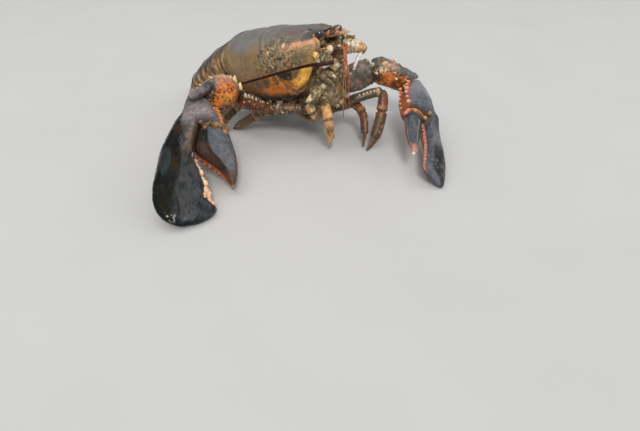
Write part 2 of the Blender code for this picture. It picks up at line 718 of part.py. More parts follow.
def build_arm(side, joints, origin, along, across, palm, collection):
    """Ischium, merus, carpus and palm of a claw arm, outward from the trunk."""
    up = Vector((0.0, 0.0, 1.0))
    bend_a = ((joints["ischium"] - joints["turn"]).normalized()
              + (joints["merus"] - joints["ischium"]).normalized()).normalized()
    bend_b = ((joints["merus"] - joints["ischium"]).normalized()
              + (joints["carpus"] - joints["merus"]).normalized()).normalized()
    half = GAP / 2

    path = curve_through([joints["coxa"], joints["basis"], joints["turn"], joints["ischium"]], 2)
    rings = tube_rings(path, spread(ISCHIUM_RADII, len(path)), 12, Vector((0.0, 0.3, 1.0)),
                       end_normal=bend_a, shift=(0.0, -half))
    finish_mesh(f"arm_ischium_{side}", ring_loft(rings), belly_tan(), collection)

    path = [joints["ischium"].lerp(joints["merus"], k / 5) for k in range(6)]
    rings = tube_rings(path, spread(MERUS_RADII, 6), 12, up, start_normal=bend_a, end_normal=bend_b,
                       shift=(half, -half), power=2.3)
    finish_mesh(f"arm_merus_{side}", ring_loft(rings), shell_orange(), collection)

    centre, direction = claw_joint(origin, along, across, palm[0])
    path = curve_through([joints["merus"], joints["carpus"], centre], 3)
    rings = tube_rings(path, spread(CARPUS_RADII, len(path)), 14, up, start_normal=bend_b,
                       end_normal=direction, shift=(half, -GAP), power=2.2)
    hold_back(rings, direction, 0.8)
    carpus = finish_mesh(f"arm_carpus_{side}", ring_loft(rings), shell_orange(), collection)
    return carpus


def build_hood(side, carpus, start, end, collection):
    """The smooth blunt horn of the carpus over the wrist, joined to it."""
    path = [start.lerp(end, k / 4) for k in range(5)]
    radii = [(HOOD_RADIUS * f, HOOD_RADIUS * f) for f in (0.95, 1.0, 1.0, 0.97, 0.62)]
    rings = tube_rings(path, radii, 10, Vector((0.0, 0.0, 1.0)))
    horn = finish_mesh(f"hood_tool_{side}", ring_loft(rings), shell_orange(), collection)
    unite(carpus, horn)


def build_claws(collection):
    """The crusher on the right and the cutter on the left, with their arms."""
    frame = (CRUSHER_ORIGIN, CRUSHER_ALONG, CRUSHER_ACROSS)
    carpus = build_arm("r", ARM_RIGHT, *frame, CRUSHER_PALM, collection)
    build_hood("r", carpus, Vector((-112.0, -59.5, 85.0)), Vector((-143.5, -68.5, 81.5)), collection)
    finish_mesh("claw_palm_r", ring_loft(settle(plate_rings(*frame, CRUSHER_PALM))), claw_blue(), collection)
    finish_mesh("claw_dactyl_r", ring_loft(settle(plate_rings(*frame, CRUSHER_DACTYL))), claw_blue(),
                collection)

    frame = (CUTTER_ORIGIN, CUTTER_ALONG, CUTTER_ACROSS)
    carpus = build_arm("l", ARM_LEFT, *frame, CUTTER_PALM, collection)
    build_hood("l", carpus, Vector((102.0, -172.0, 68.5)), Vector((105.0, -197.0, 62.5)), collection)
    finish_mesh("claw_palm_l", ring_loft(settle(plate_rings(*frame, CUTTER_PALM))), claw_blue(), collection)
    along, across = CUTTER_ALONG.normalized(), CUTTER_ACROSS.normalized()
    hinge = CUTTER_ORIGIN + along * CUTTER_HINGE[0] + across * CUTTER_HINGE[1]
    turned = along * math.cos(CUTTER_OPENING) + across * math.sin(CUTTER_OPENING)
    beside = across * math.cos(CUTTER_OPENING) - along * math.sin(CUTTER_OPENING)
    finish_mesh("claw_dactyl_l", ring_loft(settle(plate_rings(hinge, turned, beside, CUTTER_DACTYL))),
                claw_blue(), collection)


# ---- head parts -------------------------------------------------------------------------------------
def head_tube(name, points, radii, mat, collection, sides=10, steps=2, flatten=1.0):
    """A tube through trunk measures."""
    path = curve_through([trunk_point(*p) for p in points], steps)
    pairs = [(a * flatten, b) for a, b in spread(radii, len(path))]
    rings = tube_rings(path, pairs, sides, Vector((0.0, 0.3, 1.0)))
    return finish_mesh(name, ring_loft(rings), mat, collection)


def build_head(collection):
    """Eyes, feelers, their scales, mouth and the last pair of mouth limbs."""
    for sign, tag in ((-1.0, "r"), (1.0, "l")):
        forward, lateral, up = EYE_CENTRE
        eye = bmesh.new()
        bmesh.ops.create_uvsphere(eye, u_segments=12, v_segments=8, radius=EYE_RADIUS)
        bmesh.ops.translate(eye, vec=trunk_point(forward, sign * lateral, up), verts=eye.verts[:])
        finish_mesh(f"eye_{tag}", eye, eye_black(), collection)
        socket = (forward - 1.6, sign * (lateral - 3.2), up - 6.4)
        head_tube(f"eyestalk_{tag}", ((142.8, sign * 12.2, -17.0), socket), (3.0, 3.2),
                  shell_olive(), collection, 8)

        base = [(f, sign * x, u) for f, x, u in PEDUNCLE]
        head_tube(f"antenna_base_{tag}", base, (8.6, 8.0, 4.6), belly_tan(), collection, 12)
        head_tube(f"antennule_base_{tag}", ((139.0, sign * 5.0, -19.5), (161.0, sign * 3.6, -21.5)),
                  (3.0, 2.6), belly_tan(), collection, 8)
        head_tube(f"antenna_scale_{tag}", ((146.0, sign * 29.5, -16.0), (166.0, sign * 28.0, -15.5)),
                  (3.4, 1.0), shell_olive(), collection, 8, 2, 0.6)
        path = curve_through([Vector(p) for p in MAXILLIPEDS[tag]], 2)
        pairs = [(a * 0.8, b) for a, b in spread((5.0, 5.6, 5.2, 4.2, 1.8), len(path))]
        rings = tube_rings(path, pairs, 10, Vector((0.0, 0.3, 1.0)), carried=True)
        finish_mesh(f"maxilliped_{tag}", ring_loft(rings), shell_olive(), collection)
    rings = []
    for share in (0.0, 0.35, 0.7, 1.0):
        forward = 131.5 + 13.0 * share
        half = 15.0 - 5.0 * share
        tall = 10.5 - 4.0 * share
        rounds = (superellipse(2.0 * math.pi * i / 12, 2.4) for i in range(12))
        rings.append([trunk_point(forward - 3.5 * (1.0 - u), half * x, -45.0 + tall * u) for x, u in rounds])
    finish_mesh("mouth", ring_loft(rings), belly_tan(), collection)


def build_flagella(collection):
    """The two long feelers and the four short ones."""
    for tag, points in (("r", FLAGELLUM_RIGHT), ("l", FLAGELLUM_LEFT)):
        path = curve_through(points, 3)
        pairs = [(r, r) for r in taper(FLAGELLUM_RADII, len(path))]
        rings = tube_rings(path, pairs, 6, Vector((0.2, 0.3, 1.0)), carried=True)
        finish_mesh(f"antenna_{tag}", ring_loft(rings), feeler_red(), collection)
    for tag, label, top, foot, drop in ANTENNULES:
        start = trunk_point(161.7, top, -21.6) + Vector((0.0, 0.0, -0.4))
        knots = [start, start + Vector((top * 0.2, -7.0, -3.0)),
                 start + Vector((top * 0.1 + foot * 0.15, -9.5, -14.0)),
                 start + Vector(((foot - top) * 0.55, -9.0, -drop * 0.55)),
                 start + Vector((foot - top, -5.0, -drop))]
        path = curve_through(knots, 3)
        pairs = [(r, r) for r in taper((1.15, 0.4), len(path))]
        rings = tube_rings(path, pairs, 6, Vector((1.0, 0.1, 0.0)), carried=True)
        finish_mesh(f"antennule_{label}_{tag}", ring_loft(rings), feeler_red(), collection)


def taper(ends, count):
    """Radii falling from the first end to the last."""
    return [ends[0] + (ends[1] - ends[0]) * (k / (count - 1)) ** 0.8 for k in range(count)]


# ---- assembly ------------------------------------------------------------------------------------
def main():
    """Build every solid of the lobster."""
    clear_scene()
    collection = bpy.data.collections.new("american_lobster")
    bpy.context.scene.collection.children.link(collection)
    build_shell(collection)
    build_sternum(collection)
    build_tail(collection)
    build_claws(collection)
    for side in ("r", "l"):
        for number, forward in zip((2, 3, 4, 5), COXA_FORWARDS):
            build_leg(number, forward, side, LEGS[f"{side}{number}"], collection)
    build_head(collection)
    build_flagella(collection)


main()
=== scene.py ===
"""American lobster, life size: the visual model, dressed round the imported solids.

Shapes are worked out in millimetres in the animal's own measure, where +Z is up, the head
points to -Y and the animal's right is -X; `to_frame` carries them to the shared frame.
"""
import logging
import math
from dataclasses import dataclass, field
from enum import Enum
from itertools import product
from typing import Sequence

import bpy
import numpy as np
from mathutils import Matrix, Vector


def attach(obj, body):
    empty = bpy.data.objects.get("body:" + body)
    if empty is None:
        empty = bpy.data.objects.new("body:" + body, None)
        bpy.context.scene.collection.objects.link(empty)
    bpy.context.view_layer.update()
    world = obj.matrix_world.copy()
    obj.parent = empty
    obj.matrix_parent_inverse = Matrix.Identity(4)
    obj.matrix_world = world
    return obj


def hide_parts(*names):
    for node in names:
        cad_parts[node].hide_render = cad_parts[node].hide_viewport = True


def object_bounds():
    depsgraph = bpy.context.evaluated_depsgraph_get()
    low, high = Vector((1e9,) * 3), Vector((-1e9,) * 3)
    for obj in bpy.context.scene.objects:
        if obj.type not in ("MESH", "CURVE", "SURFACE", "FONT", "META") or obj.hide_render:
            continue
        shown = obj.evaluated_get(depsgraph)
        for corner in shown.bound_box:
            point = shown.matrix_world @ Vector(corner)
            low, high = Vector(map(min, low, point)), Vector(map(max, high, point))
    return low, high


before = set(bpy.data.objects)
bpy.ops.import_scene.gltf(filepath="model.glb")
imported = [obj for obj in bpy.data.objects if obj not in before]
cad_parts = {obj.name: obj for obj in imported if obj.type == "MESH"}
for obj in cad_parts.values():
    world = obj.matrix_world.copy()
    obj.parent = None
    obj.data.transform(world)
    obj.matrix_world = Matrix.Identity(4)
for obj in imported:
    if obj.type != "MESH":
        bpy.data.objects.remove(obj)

CAD_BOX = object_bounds()
LOG = logging.getLogger("lobster")
Array = np.ndarray
Colour = tuple[float, float, float]

MM = 0.001
PLACE = np.array((63.79, 78.51, 0))        # the animal's own zero in the shared frame
FLOOR_GAP = 0.02                           # skins stay this far above the floor
FILM_ROUGH = 0.14
WATER_IOR = 1.33
SCATTER_REACH = 1.5 * MM
BOX_LOW = np.array(CAD_BOX[0]) / MM + 0.02
BOX_HIGH = np.array(CAD_BOX[1]) / MM - 0.02


# ---- arithmetic on arrays ----
def unit(v: Array) -> Array:
    """Vectors scaled to length one."""
    v = np.asarray(v, float)
    return v / np.maximum(np.linalg.norm(v, axis=-1, keepdims=True), 1e-9)


def ramp(x: Array, low: float, high: float) -> Array:
    """Smooth step from 0 at low to 1 at high: 3q^2 - 2q^3 of the clipped share q."""
    q = np.clip((np.asarray(x, float) - low) / (high - low), 0, 1)
    return q * q * (3 - 2 * q)


def hump(x: Array, middle: float, width: float) -> Array:
    """Bell exp(-((x - middle) / width)^2)."""
    return np.exp(-(((np.asarray(x, float) - middle) / width) ** 2))


def blend(table: Array, at: Array) -> Array:
    """Columns of a station table at given places.

    A cubic through the stations whose slope at each is that of its two neighbours' chord.

    Args:
        table: stations down the rows, place first and then the values.
        at: places, of any shape.

    Returns:
        Array of at's shape with one more axis for the values.
    """
    table = np.asarray(table, float)
    x, y = table[:, 0], table[:, 1:]
    at = np.clip(np.asarray(at, float), x[0], x[-1])
    k = np.clip(np.searchsorted(x, at, side="right") - 1, 0, len(x) - 2)
    px = np.concatenate((x[:1], x, x[-1:]))
    py = np.concatenate((y[:1], y, y[-1:]))
    slope = (py[2:] - py[:-2]) / (px[2:] - px[:-2])[:, None]
    span = (x[k + 1] - x[k])[..., None]
    v = (at[..., None] - x[k][..., None]) / span
    return ((2 * v**3 - 3 * v**2 + 1) * y[k] + (v**3 - 2 * v**2 + v) * slope[k] * span
            + (3 * v**2 - 2 * v**3) * y[k + 1] + (v**3 - v**2) * slope[k + 1] * span)


def resample(values: Sequence, count: int) -> Array:
    """Evenly read values (numbers or tuples) smoothly resampled to count rows."""
    rows = np.array([np.atleast_1d(v) for v in values], float)
    table = np.column_stack((np.arange(len(rows)), rows))
    return blend(table, np.linspace(0, len(rows) - 1, count))


def superellipse(angle: Array, power: float) -> tuple[Array, Array]:
    """Unit superellipse |x|^p + |u|^p = 1 at an angle."""
    c, s = np.cos(angle), np.sin(angle)
    return (np.sign(c) * np.abs(c) ** (2 / power), np.sign(s) * np.abs(s) ** (2 / power))


def scramble(cell: Array, seed: int) -> Array:
    """Pseudo-random numbers in 0..1 from integer cells, three to a cell."""
    c = cell.astype(np.int64)
    h = (c[..., 0] * 73856093) ^ (c[..., 1] * 19349663) ^ (c[..., 2] * 83492791) ^ (seed * 2654435)
    out = []
    for salt in (0x9E3779B1, 0x85EBCA6B, 0xC2B2AE35):
        g = (h * salt) & 0xFFFFFFFF
        g = ((g ^ (g >> 15)) * 0x2C1B3C6D) & 0xFFFFFFFF
        g = ((g ^ (g >> 12)) * 0x297A2D39) & 0xFFFFFFFF
        out.append(((g ^ (g >> 15)) & 0xFFFFFF) / float(0x1000000))
    return np.stack(out, -1)


def noise(points: Array, size: float, octaves: int = 3, seed: int = 1) -> Array:
    """Smooth value noise in -1..1: lattice numbers blended by smooth steps, octaves halved."""
    total, weight, norm = 0, 1, 0
    for octave in range(octaves):
        q = points / (size * 0.5**octave) + 17.3 * (seed + octave)
        base = np.floor(q)
        f = q - base
        f = f * f * (3 - 2 * f)
        value = 0
        for step in product((0, 1), repeat=3):
            corner = scramble(base + step, seed + octave)[..., 0]
            x, y, z = (f[..., k] if on else 1 - f[..., k] for k, on in enumerate(step))
            value = value + corner * (x * y * z)
        total = total + weight * (2 * value - 1)
        norm += weight
        weight *= 0.5
    return total / norm


def beads(points: Array, size: float, seed: int = 1, fill: float = 1) -> Array:
    """Round knobs in 0..1: one at a jittered spot of each lattice cell, a fill share of them kept."""
    q = points / size
    base = np.floor(q)
    best = np.zeros(points.shape[:-1])
    for step in product((-1, 0, 1), repeat=3):
        cell = base + step
        near = 1 - np.sum((q - cell - 0.2 - 0.6 * scramble(cell, seed)) ** 2, -1) / 0.16
        keep = scramble(cell, seed + 7)[..., 1] < fill
        best = np.maximum(best, np.where(keep, near, 0))
    return np.sqrt(np.clip(best, 0, 1))


def mix(a: Array, b: Array, share: Array) -> Array:
    """Colours a and b blended by a share, broadcast over the points."""
    share = np.asarray(share, float)[..., None]
    return np.asarray(a, float) * (1 - share) + np.asarray(b, float) * share


def layered(tint: Array, *layers: tuple[Array, Array]) -> Array:
    """A tint under layers of paint, each a colour and the share that it covers."""
    for colour, share in layers:
        tint = mix(tint, colour, share)
    return tint


def to_frame(points: Array) -> Array:
    """Animal's millimetres to metres of the shared frame, kept inside the solids' box."""
    return np.clip(points + PLACE, BOX_LOW, BOX_HIGH) * MM


def sheet(rows: int, columns: int) -> tuple[Array, Array]:
    """Shares 0..1 down the rows and angles round the columns, ready to be broadcast together."""
    return (np.linspace(0, 1, rows)[:, None],
            np.linspace(0, 2 * math.pi, columns, endpoint=False)[None])


def above_floor(grid: Array, gap: float = FLOOR_GAP) -> Array:
    """A grid with no point nearer to the floor than a gap."""
    grid[..., 2] = np.maximum(grid[..., 2], gap)
    return grid


def arc(points: Array) -> Array:
    """Length run along a path at each of its points."""
    return np.concatenate(([0], np.cumsum(np.linalg.norm(np.diff(points, axis=0), axis=1))))


# ---- gathering meshes ----
def outward(grid: Array, middle: Array) -> Array:
    """Unit normals of a grid closed in its second direction, all turned away from a middle.

    Each is the cross product of the central differences round and along.
    """
    around = np.roll(grid, -1, axis=1) - np.roll(grid, 1, axis=1)
    out = unit(np.cross(around, np.gradient(grid, axis=0)))
    return out * np.sign(np.sum(out * (grid - middle), -1).mean())


class Shape:
    """Closed surfaces gathered into the mesh of one piece, with a painted tint and fleck mask."""

    def __init__(self, name: str) -> None:
        """Start an empty piece of that name."""
        self.name = name
        self.points: list[Array] = []
        self.quads: list[Array] = []
        self.triangles: list[Array] = []
        self.tints: list[Array] = []
        self.masks: list[Array] = []
        self.count = 0

    def _keep(self, points: Array, quads: Array, triangles: Array, tint: Array, mask: Array) -> None:
        """Append one body of points and faces, turned to face outwards by its signed volume."""
        loose = np.concatenate((triangles, quads[:, :3], quads[:, [0, 2, 3]]))
        a, b, c = (points[loose[:, k]] for k in range(3))
        if np.einsum("ij,ij->", a, np.cross(b, c)) < 0:
            quads, triangles = quads[:, ::-1], triangles[:, ::-1]
        self.points.append(points)
        self.quads.append(quads + self.count)
        self.triangles.append(triangles + self.count)
        self.tints.append(np.broadcast_to(tint, (len(points), 3)))
        self.masks.append(np.broadcast_to(mask, (len(points),)))
        self.count += len(points)

    def tube(self, grid: Array, tint: Array | Colour, mask: Array | float = 0) -> None:
        """Add a grid (stations, round, 3), closed round and closed at both ends by a fan.

        Args:
            grid: the points of the surface.
            tint: colour of each grid point, or one colour.
            mask: fleck mask of each grid point, or one value.
        """
        grid = np.asarray(grid, float)
        rows, cols = grid.shape[:2]
        tint = np.broadcast_to(np.asarray(tint, float), grid.shape)
        mask = np.broadcast_to(np.asarray(mask, float), grid.shape[:2])
        index = np.arange(rows * cols).reshape(rows, cols)
        right = np.roll(index, -1, axis=1)
        quads = np.stack((index[:-1], right[:-1], right[1:], index[1:]), -1).reshape(-1, 4)
        poles = rows * cols
        start = np.stack((right[0], index[0], np.full(cols, poles)), -1)
        end = np.stack((index[-1], right[-1], np.full(cols, poles + 1)), -1)
        ends = [0, -1]
        self._keep(np.concatenate((grid.reshape(-1, 3), grid[ends].mean(1))), quads,
                   np.concatenate((start, end)),
                   np.concatenate((tint.reshape(-1, 3), tint[ends].mean(1))),
                   np.concatenate((mask.ravel(), mask[ends].mean(1))))

    def knobs(self, at: Array, out: Array, radius: Array | float, height: Array | float,
              tint: Array | Colour, tip: Array | Colour | None = None, lean: Array | float = 0,
              point: float = 0.5, sides: int = 8, rings: int = 4) -> None:
        """Add many small horns or beads, one at each place.

        A ring at share t of the height has radius r (1 - t^2)^(1/2) for a bead (point 0) up to
        r (1 - t) for a spine (point 1), blended by point; its middle shifts by lean t^2.

        Args:
            at: places, (n, 3).
            out: directions they stand in, (n, 3).
            radius: radius at the root, one or n.
            height: height above the place, one or n.
            tint: colour at the root.
            tip: colour at the tip, or None for the same.
            lean: sideways shift of the tip, (n, 3) or 0.
            point: 0 for a bead, 1 for a spine.
            sides: points round each ring.
            rings: rings up the height.
        """
        at = np.atleast_2d(at)
        count = len(at)
        if count == 0:
            return
        out = unit(np.broadcast_to(out, at.shape))
        radius = np.broadcast_to(radius, (count,))[:, None, None, None]
        height = np.broadcast_to(height, (count,))[:, None, None, None]
        aside = unit(np.cross(out, np.where(np.abs(out[:, 2:3]) > 0.9, (1, 0, 0), (0, 0, 1))))
        across = np.cross(out, aside)
        t = np.concatenate(([-0.25], np.linspace(0, 0.93, rings)))
        level = np.clip(t, 0, 1)
        swell = (1 - point) * np.sqrt(1 - level**2) + point * (1 - level) ** 0.9
        angle = np.arange(sides) * (2 * math.pi / sides)
        circle = (aside[:, None, None] * np.cos(angle)[None, None, :, None]
                  + across[:, None, None] * np.sin(angle)[None, None, :, None])
        drift = np.broadcast_to(lean, at.shape)[:, None, None] * (level**2)[None, :, None, None]
        body = (at[:, None, None] + circle * swell[None, :, None, None] * radius
                + out[:, None, None] * t[None, :, None, None] * height + drift)
        foot = at - out * 0.3 * height[:, 0, 0]
        peak = at + out * height[:, 0, 0] + np.broadcast_to(lean, at.shape)
        rows, size = len(t), len(t) * sides + 2
        points = np.concatenate((body.reshape(count, -1, 3), foot[:, None], peak[:, None]), 1)
        index = np.arange(rows * sides).reshape(rows, sides)
        right = np.roll(index, -1, axis=1)
        quads = np.stack((index[:-1], right[:-1], right[1:], index[1:]), -1).reshape(-1, 4)
        low = np.stack((right[0], index[0], np.full(sides, size - 2)), -1)
        high = np.stack((index[-1], right[-1], np.full(sides, size - 1)), -1)
        shift = (np.arange(count) * size)[:, None, None]
        root = np.broadcast_to(np.asarray(tint, float), (count, 3))
        crown = root if tip is None else np.broadcast_to(np.asarray(tip, float), (count, 3))
        share = np.concatenate((np.repeat(level, sides), (0, 1))) ** 1.3
        colour = root[:, None] * (1 - share[None, :, None]) + crown[:, None] * share[None, :, None]
        self._keep(points.reshape(-1, 3), (quads[None] + shift).reshape(-1, 4),
                   (np.concatenate((low, high))[None] + shift).reshape(-1, 3),
                   colour.reshape(-1, 3), 0)

    def studs(self, spots: tuple[Array, Array], sink: float, *looks: Array | float | Colour,
              lean: Array | None = None, **form: float) -> None:
        """Add knobs on a skin.

        Args:
            spots: places and directions out of the skin, (n, 3) each.
            sink: how deep their feet are sunk in.
            looks: radius, height, tint and tip, as for knobs.
            lean: added to the directions.
            form: point, sides and rings, as for knobs.
        """
        at, out = spots
        self.knobs(at - out * sink, out if lean is None else unit(out + lean), *looks, **form)

    def build(self) -> bpy.types.Object:
        """Make the mesh object at the origin, in the shared frame, smooth and painted."""
        points = to_frame(np.concatenate(self.points))
        quads = np.concatenate(self.quads)
        triangles = np.concatenate(self.triangles)
        mesh = bpy.data.meshes.new(self.name)
        mesh.vertices.add(len(points))
        mesh.vertices.foreach_set("co", points.astype(np.float32).ravel())
        loops = np.concatenate((quads.ravel(), triangles.ravel()))
        sizes = np.concatenate((np.full(len(quads), 4), np.full(len(triangles), 3)))
        mesh.loops.add(len(loops))
        mesh.loops.foreach_set("vertex_index", loops.astype(np.int32))
        mesh.polygons.add(len(sizes))
        mesh.polygons.foreach_set("loop_start", (np.cumsum(sizes) - sizes).astype(np.int32))
        mesh.polygons.foreach_set("use_smooth", np.ones(len(sizes), bool))
        mesh.update(calc_edges=True)
        tint = mesh.attributes.new("tint", "FLOAT_COLOR", "POINT")
        rgba = np.column_stack((np.concatenate(self.tints), np.ones(len(points))))
        tint.data.foreach_set("color", np.clip(rgba, 0, 1).astype(np.float32).ravel())
        mask = mesh.attributes.new("fleck", "FLOAT", "POINT")
        mask.data.foreach_set("value", np.clip(np.concatenate(self.masks), 0, 1).astype(np.float32))
        piece = bpy.data.objects.new(self.name, mesh)
        bpy.context.scene.collection.objects.link(piece)
        return piece


def path_frames(path: Array, hint: Array) -> tuple[Array, Array, Array]:
    """Tangent, across and high directions along a path.

    The hint fixes high at the first station, and each next one carries it on by taking out the
    part along the new tangent, so the tube doesn't twist.
    """
    tangent = unit(np.gradient(path, axis=0))
    high = np.empty_like(tangent)
    carried = np.asarray(hint, float)
    for k, t in enumerate(tangent):
        carried = unit(carried - t * (carried @ t))
        high[k] = carried
    return tangent, np.cross(tangent, high), high


def sweep(path: Array, radii: Array, hint: Array, sides: int) -> Array:
    """Grid of an elliptical tube: path + across * wide * cos a + high * tall * sin a.

    Args:
        path: stations, (n, 3).
        radii: (n, 2) half sizes across and high.
        hint: direction that fixes high at the start.
        sides: points round.
    """
    _, across, high = path_frames(path, hint)
    x, u = superellipse(np.arange(sides) * (2 * math.pi / sides), 2)
    return (path[:, None] + across[:, None] * (radii[:, :1] * x)[..., None]
            + high[:, None] * (radii[:, 1:2] * u)[..., None])


# ---- shader arithmetic ----
class Value:
    """A number socket of a node tree that takes part in Python arithmetic."""

    def __init__(self, tree: bpy.types.NodeTree, socket: bpy.types.NodeSocket) -> None:
        """Wrap one output socket."""
        self.tree, self.socket = tree, socket

    def _math(self, operation: str, first: "Value | float", second: "Value | float" = 0) -> "Value":
        """Add one Math node for an operation on two operands."""
        node = self.tree.nodes.new("ShaderNodeMath")
        node.operation = operation
        for slot, operand in zip(node.inputs, (first, second)):
            if isinstance(operand, Value):
                self.tree.links.new(operand.socket, slot)
            else:
                slot.default_value = operand
        return Value(self.tree, node.outputs[0])

    def __add__(self, other: "Value | float") -> "Value":
        """Sum."""
        return self._math("ADD", self, other)

    __radd__ = __add__

    def __mul__(self, other: "Value | float") -> "Value":
        """Product."""
        return self._math("MULTIPLY", self, other)

    __rmul__ = __mul__

    def __sub__(self, other: "Value | float") -> "Value":
        """Difference."""
        return self._math("SUBTRACT", self, other)

    def __rsub__(self, other: float) -> "Value":
        """Reflected difference."""
        return self._math("SUBTRACT", other, self)

    def __pow__(self, other: float) -> "Value":
        """Power."""
        return self._math("POWER", self, other)


class Paint:
    """The node tree of one finish, with object coordinates in millimetres ready to use."""

    def __init__(self, name: str) -> None:
        """Start a material that holds one Principled shader."""
        self.material = bpy.data.materials.new(name)
        self.material.use_nodes = True
        self.tree = self.material.node_tree
        self.shader = self.tree.nodes["Principled BSDF"]
        place = self.node("ShaderNodeTexCoord", {}, {}).outputs["Object"]
        self.place = self.node("ShaderNodeVectorMath", {"operation": "SCALE"},
                               {"Vector": place, "Scale": 1 / MM}).outputs["Vector"]

    def node(self, kind: str, settings: dict, inputs: dict) -> bpy.types.Node:
        """Add a node: its settings first, then the values or links of its sockets.

        Args:
            kind: node type.
            settings: attributes set before the sockets.
            inputs: socket name or number to a value, a socket or a Value.

        Returns:
            The node.
        """
        made = self.tree.nodes.new(kind)
        for key, value in settings.items():
            setattr(made, key, value)
        self.fill(made, inputs)
        return made

    def fill(self, node: bpy.types.Node, inputs: dict) -> None:
        """Link or fill sockets of a node: name or number to a value, a socket or a Value."""
        for key, value in inputs.items():
            if isinstance(value, Value):
                value = value.socket
            if isinstance(value, bpy.types.NodeSocket):
                self.tree.links.new(value, node.inputs[key])
            else:
                node.inputs[key].default_value = value

    def finished(self, inputs: dict) -> bpy.types.Material:
        """Set the Principled shader's sockets and hand over the material."""
        self.fill(self.shader, inputs)
        return self.material

    def grain(self, size: float, detail: float = 2, warp: float = 0) -> Value:
        """Noise of a size in millimetres."""
        made = self.node("ShaderNodeTexNoise", {}, {"Vector": self.place, "Scale": 1 / size,
                                                    "Detail": detail, "Distortion": warp})
        return Value(self.tree, made.outputs[0])

    def pores(self, size: float) -> Value:
        """Distance to the nearest of scattered points, a size in millimetres apart."""
        made = self.node("ShaderNodeTexVoronoi", {}, {"Vector": self.place, "Scale": 1 / size})
        return Value(self.tree, made.outputs["Distance"])

    def painted(self, name: str) -> bpy.types.Node:
        """Read a painted attribute of the mesh."""
        return self.node("ShaderNodeAttribute", {"attribute_name": name}, {})

    def step(self, value: Value, low: float, high: float) -> Value:
        """Smooth step of a value from low to high."""
        made = self.node("ShaderNodeMapRange", {"interpolation_type": "SMOOTHSTEP"},
                         {"Value": value, "From Min": low, "From Max": high})
        return Value(self.tree, made.outputs["Result"])

    def blend(self, first: object, second: object, share: Value) -> bpy.types.NodeSocket:
        """Mix two colours by a share."""
        ends = {key: (*colour, 1) if isinstance(colour, tuple) else colour
                for key, colour in ((6, first), (7, second))}
        return self.node("ShaderNodeMix", {"data_type": "RGBA"}, {0: share, **ends}).outputs[2]


@dataclass(frozen=True)
class Fleck:
    """Scattered spots: their size in millimetres, how much they cover, colour and where."""

    size: float
    cover: float
    colour: Colour
    masked: bool = False
    strength: float = 1


@dataclass(frozen=True)
class ShellFinish:
    """Wet shell: painted tint, mottling, flecks, pitted bump and a water film on top."""

    name: str
    rough: float = 0.34
    rough_vary: float = 0.16
    film: float = 0.45
    gloss: float = 0.5
    mottle: float = 0.35
    mottle_size: float = 9
    pit_size: float = 1.6
    pit_depth: float = 0.1
    swell_size: float = 5
    swell_depth: float = 0.25
    flecks: tuple[Fleck, ...] = ()
    scatter: float = 0

    def material(self) -> bpy.types.Material:
        """Build the material.

        Base colour is the painted tint, darkened and lightened by broad and fine noise, with each
        fleck laid over it; roughness and bump follow noises of their own.
        """
        paint = Paint(self.name)
        broad = paint.grain(self.mottle_size, 4, 0.6)
        fine = paint.grain(self.mottle_size * 0.22, 3)
        gain = 1 + (broad - 0.5) * (2.4 * self.mottle) + (fine - 0.5) * (1.5 * self.mottle)
        colour = paint.node("ShaderNodeVectorMath", {"operation": "SCALE"},
                            {"Vector": paint.painted("tint").outputs["Color"],
                             "Scale": gain}).outputs["Vector"]
        masked = Value(paint.tree, paint.painted("fleck").outputs["Fac"])
        for fleck in self.flecks:
            spots = paint.grain(fleck.size, 1.5, 0.4)
            edge = 1 - fleck.cover
            share = paint.step(spots, 0.3 + 0.42 * edge, 0.3 + 0.42 * edge + 0.07) * fleck.strength
            share = share * masked if fleck.masked else share
            colour = paint.blend(colour, fleck.colour, share)
        pits = paint.pores(self.pit_size)
        swell = paint.grain(self.swell_size, 3)
        height = (paint.step(pits, 0.05, 0.55) * self.pit_depth + swell * self.swell_depth
                  + paint.grain(0.9, 2) * 0.05)
        bump = paint.node("ShaderNodeBump", {}, {"Height": height, "Distance": MM, "Strength": 1})
        rough = self.rough + (paint.grain(self.mottle_size * 0.5, 3) - 0.5) * (2 * self.rough_vary)
        return paint.finished({
            "Base Color": colour, "Roughness": rough, "Normal": bump.outputs["Normal"],
            "Coat Weight": self.film, "Specular IOR Level": self.gloss,
            "Coat Roughness": FILM_ROUGH, "Coat IOR": WATER_IOR,
            "Subsurface Weight": self.scatter, "Subsurface Scale": SCATTER_REACH})


@dataclass(frozen=True)
class Cornea:
    """Black cornea under a clear wet film, with a faint brown bloom and facet grain."""

    name: str = "wet_black_cornea"
    film: float = 0.9
    film_rough: float = 0.03
    facet: float = 0.28

    def material(self) -> bpy.types.Material:
        """Build the material."""
        paint = Paint(self.name)
        bloom = paint.step(paint.grain(3, 2), 0.45, 0.75)
        colour = paint.blend((0.006, 0.007, 0.009), (0.035, 0.022, 0.016), bloom * 0.5)
        height = paint.pores(self.facet) * 0.02
        bump = paint.node("ShaderNodeBump", {}, {"Height": height, "Distance": MM, "Strength": 0.5})
        rough = 0.1 + 0.08 * paint.grain(2)
        return paint.finished({"Base Color": colour, "Normal": bump.outputs["Normal"],
                               "Roughness": rough, "Coat Weight": self.film,
                               "Coat Roughness": self.film_rough})


class Finish(Enum):
    """The finishes of the animal, each with the record's slot it belongs to."""

    BACK = "shell_dark"
    OLIVE = "shell_olive"
    ORANGE = "shell_orange"
    CLAW = "claw_blue"
    FEELER = "feeler_red"
    EYE = "eye_black"
    BELLY = "belly_tan"


